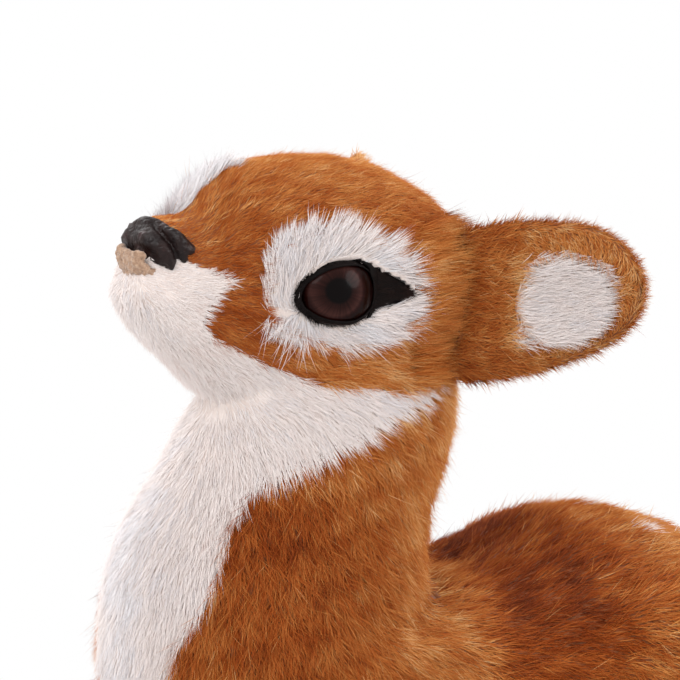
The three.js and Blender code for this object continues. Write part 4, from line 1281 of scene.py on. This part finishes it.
# The lining lies flatter and shorter than its solid: places out of and along the ear in mm, and the
# shares by which what lies past them is drawn in
LINING_FOOT, LINING_FLATTER = (0.8, 9), (0.38, 0.12)


def ear_axes(side):
    """The ear's root, and the ways of its length, width and open face, from its sweep and rise."""
    sweep, rise = (math.radians(angle) for angle in EAR_ANGLES[side])
    length = np.array([math.cos(rise) * math.cos(sweep), math.cos(rise) * math.sin(sweep), math.sin(rise)])
    width = np.array([-math.sin(rise) * math.cos(sweep), -math.sin(rise) * math.sin(sweep), math.cos(rise)])
    face = np.cross(length, width)
    root = (np.array(EAR_ROOT) + (0, 0, RIGHT_EAR_LIFT if side < 0 else 0)) * MM
    for way in (length, width, face, root):
        way[0] *= side
    return root, length, width, face


class DEER_OT_ears(bpy.types.Operator):
    """Makes the thick furry ears and their pale linings"""

    bl_idname = "deer.ears"
    bl_label = "Ears"

    def execute(self, context):
        fur = settings().fur
        for name, side in SIDES:
            body = f"{name}_ear"
            root, length, width, face = ear_axes(side)
            shell = remeshed(merged_copy(f"{name}_ear_shell"), 0.7 * MM, 4)
            sunk(shell, 1.0 * MM)
            roots, normals = sown(shell, density_of(fur.ear_density), 31)
            hide = piece_from(shell, f"{name}_ear_hide", brown_hide())
            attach(hide, body)
            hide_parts(f"{name}_ear_shell")
            # The fur lies along the ear, turned out to its rim at the rear and in to the lining in front
            away = roots - (root + length * EAR_MIDDLE * MM)
            away -= (away @ face)[:, None] * face
            rim = np.clip(np.linalg.norm(away, axis=1) / EAR_RADIUS, 0, 1)
            outwards = unit(away)
            open_side = (normals @ face) > 0.25
            flat = np.column_stack([(roots - root) @ length, (roots - root) @ width]) / MM
            pale = inside(flat, LINING) & open_side
            edge = open_side & ~pale & (flat[:, 0] > 11)
            ways = length * 0.8 + outwards * (0.5 * rim * ~open_side - 1.0 * edge)[:, None]
            lengths = np.where(edge, 2.2, 3.0) * MM
            lengths[pale] = 3.6 * MM
            lifts = np.radians(np.where(open_side, 20, 14))
            if side < 0:
                crest = ((roots - root) @ width) > 6 * MM
                ways[crest] += (0, 2.4, -0.6)
                lengths[crest] = 2.4 * MM
                lifts[crest] = math.radians(5)
            # Longer pale fur where the brown meets the lining's front edge
            fringe = np.interp(flat[:, 1], *LINING_FRONT) - flat[:, 0]
            fringe = np.exp(-(((fringe - 0.9) / 1.3) ** 2)) * open_side * (np.abs(flat[:, 1]) < 7.6)
            lengths = np.where(pale, lengths, lengths + 1.7 * fringe * MM)
            lifts = lifts * (1 - 0.3 * fringe)
            # The fur is darker towards the ear's root, as painted shade there, and lighter where it meets the lining's
            # front edge
            tone = 0.5 + 0.22 * np.clip(flat[:, 0] / 13, 0, 1) + 0.24 * fringe
            coat(
                f"{name}_ear_fur", roots, normals, ways, lengths, lifts, width_of(0.09), brown_fur(), 310,
                tone=tone, body=body, white=pale, spread=0.36,
            )
            lining = remeshed(merged_copy(f"{name}_ear_lining"), 0.5 * MM, 3)
            for vert in lining.verts:
                off = (np.array(vert.co) - root) @ face - LINING_FOOT[0] * MM
                reach = (np.array(vert.co) - root) @ length - LINING_FOOT[1] * MM
                vert.co -= Vector(face * off * LINING_FLATTER[0] + length * reach * LINING_FLATTER[1])
            lining.normal_update()
            roots, normals = sown(lining, density_of(fur.ear_density), 32)
            piece = piece_from(lining, f"{name}_ear_lining_hide", white_hide())
            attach(piece, body)
            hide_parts(f"{name}_ear_lining")
            front = (normals @ face) > 0.2
            coat(
                f"{name}_ear_lining_fur", roots[front], normals[front], length, 3.4 * MM, math.radians(20),
                width_of(0.085), white_fur(), 320, tone=0.62, body=body, spread=0.16,
            )
            self.root_fur(name, root, length, width, face)
        return {"FINISHED"}

    def root_fur(self, name, root, length, width, face):
        """Longer fur on the head that sweeps out over the ear's root."""
        roots, normals = rooted("head_pelt", settings().fur.head_density, 33)
        away = (roots - root) / MM
        off = np.hypot(np.maximum(np.abs(away @ width) - 9, 0), np.maximum(np.abs(away @ face) - 4, 0))
        near = (off < 5.5) & (away @ length < 5) & (away @ length > -9)
        roots, normals, off = roots[near], normals[near], off[near]
        lean = np.arcsin(np.clip(normals @ length, 0.25, 0.9)) * 0.92
        coat(
            f"{name}_ear_root_fur", roots, normals, length, (6.6 - 0.4 * off) * MM, lean, width_of(0.085), brown_fur(),
            330, tone=0.64, spread=0.3,
        )
        if name == "right":
            self.crown_fur()

    def crown_fur(self):
        """The fuller fur behind the crown, between the two ears, on the right."""
        roots, normals = rooted("head_pelt", settings().fur.head_density, 34)
        off = np.linalg.norm(roots / MM - CROWN_MIDDLE, axis=1)
        near = (off < CROWN_RADIUS) & (roots[:, 0] < -3.5 * MM)
        off = off[near]
        coat(
            "right_crown_fur", roots[near], normals[near], (-0.1, 1.0, -0.1), (6.2 - 0.25 * off) * MM,
            np.radians(38 - 2 * off), width_of(0.085), brown_fur(), 340, tone=0.72, spread=0.25,
        )


class DEER_OT_legs(bpy.types.Operator):
    """Covers the folded legs with fabric and short fur"""

    bl_idname = "deer.legs"
    bl_label = "Legs"

    def execute(self, context):
        fur = settings().fur
        # Limb, the way its fur lies on the left, and the fur's length in mm
        limbs = (
            ("forearm", (0, -1, -0.1), 3.6),
            ("fore_cannon", (0.35, 1, 0), 2.6),
            ("hind_cannon", (0.2, -1, 0), 2.8),
        )
        for name, side in SIDES:
            for seed, (limb, way, length) in enumerate(limbs):
                node = f"{name}_{limb}"
                skin = remeshed(merged_copy(node), 0.9 * MM, 3)
                sunk(skin, 0.8 * MM)
                roots, normals = sown(skin, density_of(fur.limb_density), 40 + seed)
                hide = piece_from(skin, f"{node}_hide", brown_hide())
                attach(hide, "body")
                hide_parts(node)
                coat(
                    f"{node}_fur", roots, normals, np.array(way) * (side, 1, 1), length * MM, math.radians(15),
                    width_of(0.2), brown_fur(), 400 + 10 * seed, tone=0.45,
                )
        return {"FINISHED"}


class DEER_OT_hooves(bpy.types.Operator):
    """Makes the four cloven hooves"""

    bl_idname = "deer.hooves"
    bl_label = "Hooves"

    def execute(self, context):
        for name, _ in SIDES:
            for limb in ("fore", "hind"):
                node = f"{name}_{limb}_hoof"
                bm = remeshed(merged_copy(node), 0.3 * MM, 4)
                hoof = piece_from(bm, f"{name}_{limb}_horn", hoof_horn())
                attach(hoof, "body")
                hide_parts(node)
        return {"FINISHED"}


TAIL_FREE = 61 * MM
TAIL_DROOP = math.radians(28)


class DEER_OT_tail(bpy.types.Operator):
    """Makes the short tail, brown above and white below"""

    bl_idname = "deer.tail"
    bl_label = "Tail"

    def execute(self, context):
        skin = remeshed(merged_copy("tail"), 0.7 * MM, 3)
        sunk(skin, 0.7 * MM)
        roots, normals = sown(skin, density_of(settings().fur.neck_density), 51)
        hide = piece_from(skin, "tail_hide", brown_hide())
        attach(hide, "tail")
        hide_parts("tail")
        free = roots[:, 1] > TAIL_FREE
        roots, normals = roots[free], normals[free]
        coat(
            "tail_fur", roots, normals, (0, math.cos(TAIL_DROOP), -math.sin(TAIL_DROOP)), 3.6 * MM, math.radians(18),
            width_of(0.18), brown_fur(), 510, tone=0.5, body="tail", white=normals[:, 2] < -0.35,
        )
        return {"FINISHED"}


# The add-on

OPERATORS = (
    DEER_OT_stage,
    DEER_OT_cores,
    DEER_OT_hides,
    DEER_OT_body_fur,
    DEER_OT_eye_patches,
    DEER_OT_eyes,
    DEER_OT_eyelids,
    DEER_OT_nose,
    DEER_OT_ears,
    DEER_OT_legs,
    DEER_OT_hooves,
    DEER_OT_tail,
)


class DEER_PT_panel(bpy.types.Panel):
    """Lists the settings and the steps of the deer"""

    bl_idname = "DEER_PT_panel"
    bl_label = "Plush deer"
    bl_space_type = "VIEW_3D"
    bl_region_type = "UI"
    bl_category = "Deer"

    def draw(self, context):
        deer = context.scene.deer
        for group in (deer.fur, deer.face, deer.stage):
            box = self.layout.box()
            for key in type(group).__annotations__:
                box.prop(group, key)
        for operator in OPERATORS:
            self.layout.operator(operator.bl_idname)


CLASSES = (FurSettings, FaceSettings, StageSettings, DeerSettings, *OPERATORS, DEER_PT_panel)


def register():
    for item in CLASSES:
        bpy.utils.register_class(item)
    bpy.types.Scene.deer = PointerProperty(type=DeerSettings)


def unregister():
    del bpy.types.Scene.deer
    for item in reversed(CLASSES):
        bpy.utils.unregister_class(item)


def main():
    register()
    bpy.ops.deer.stage()
    bpy.ops.deer.cores()
    bpy.ops.deer.hides()
    bpy.ops.deer.body_fur()
    bpy.ops.deer.eye_patches()
    bpy.ops.deer.eyes()
    bpy.ops.deer.eyelids()
    bpy.ops.deer.nose()
    bpy.ops.deer.ears()
    bpy.ops.deer.legs()
    bpy.ops.deer.hooves()
    bpy.ops.deer.tail()


if __name__ == "__main__":
    main()
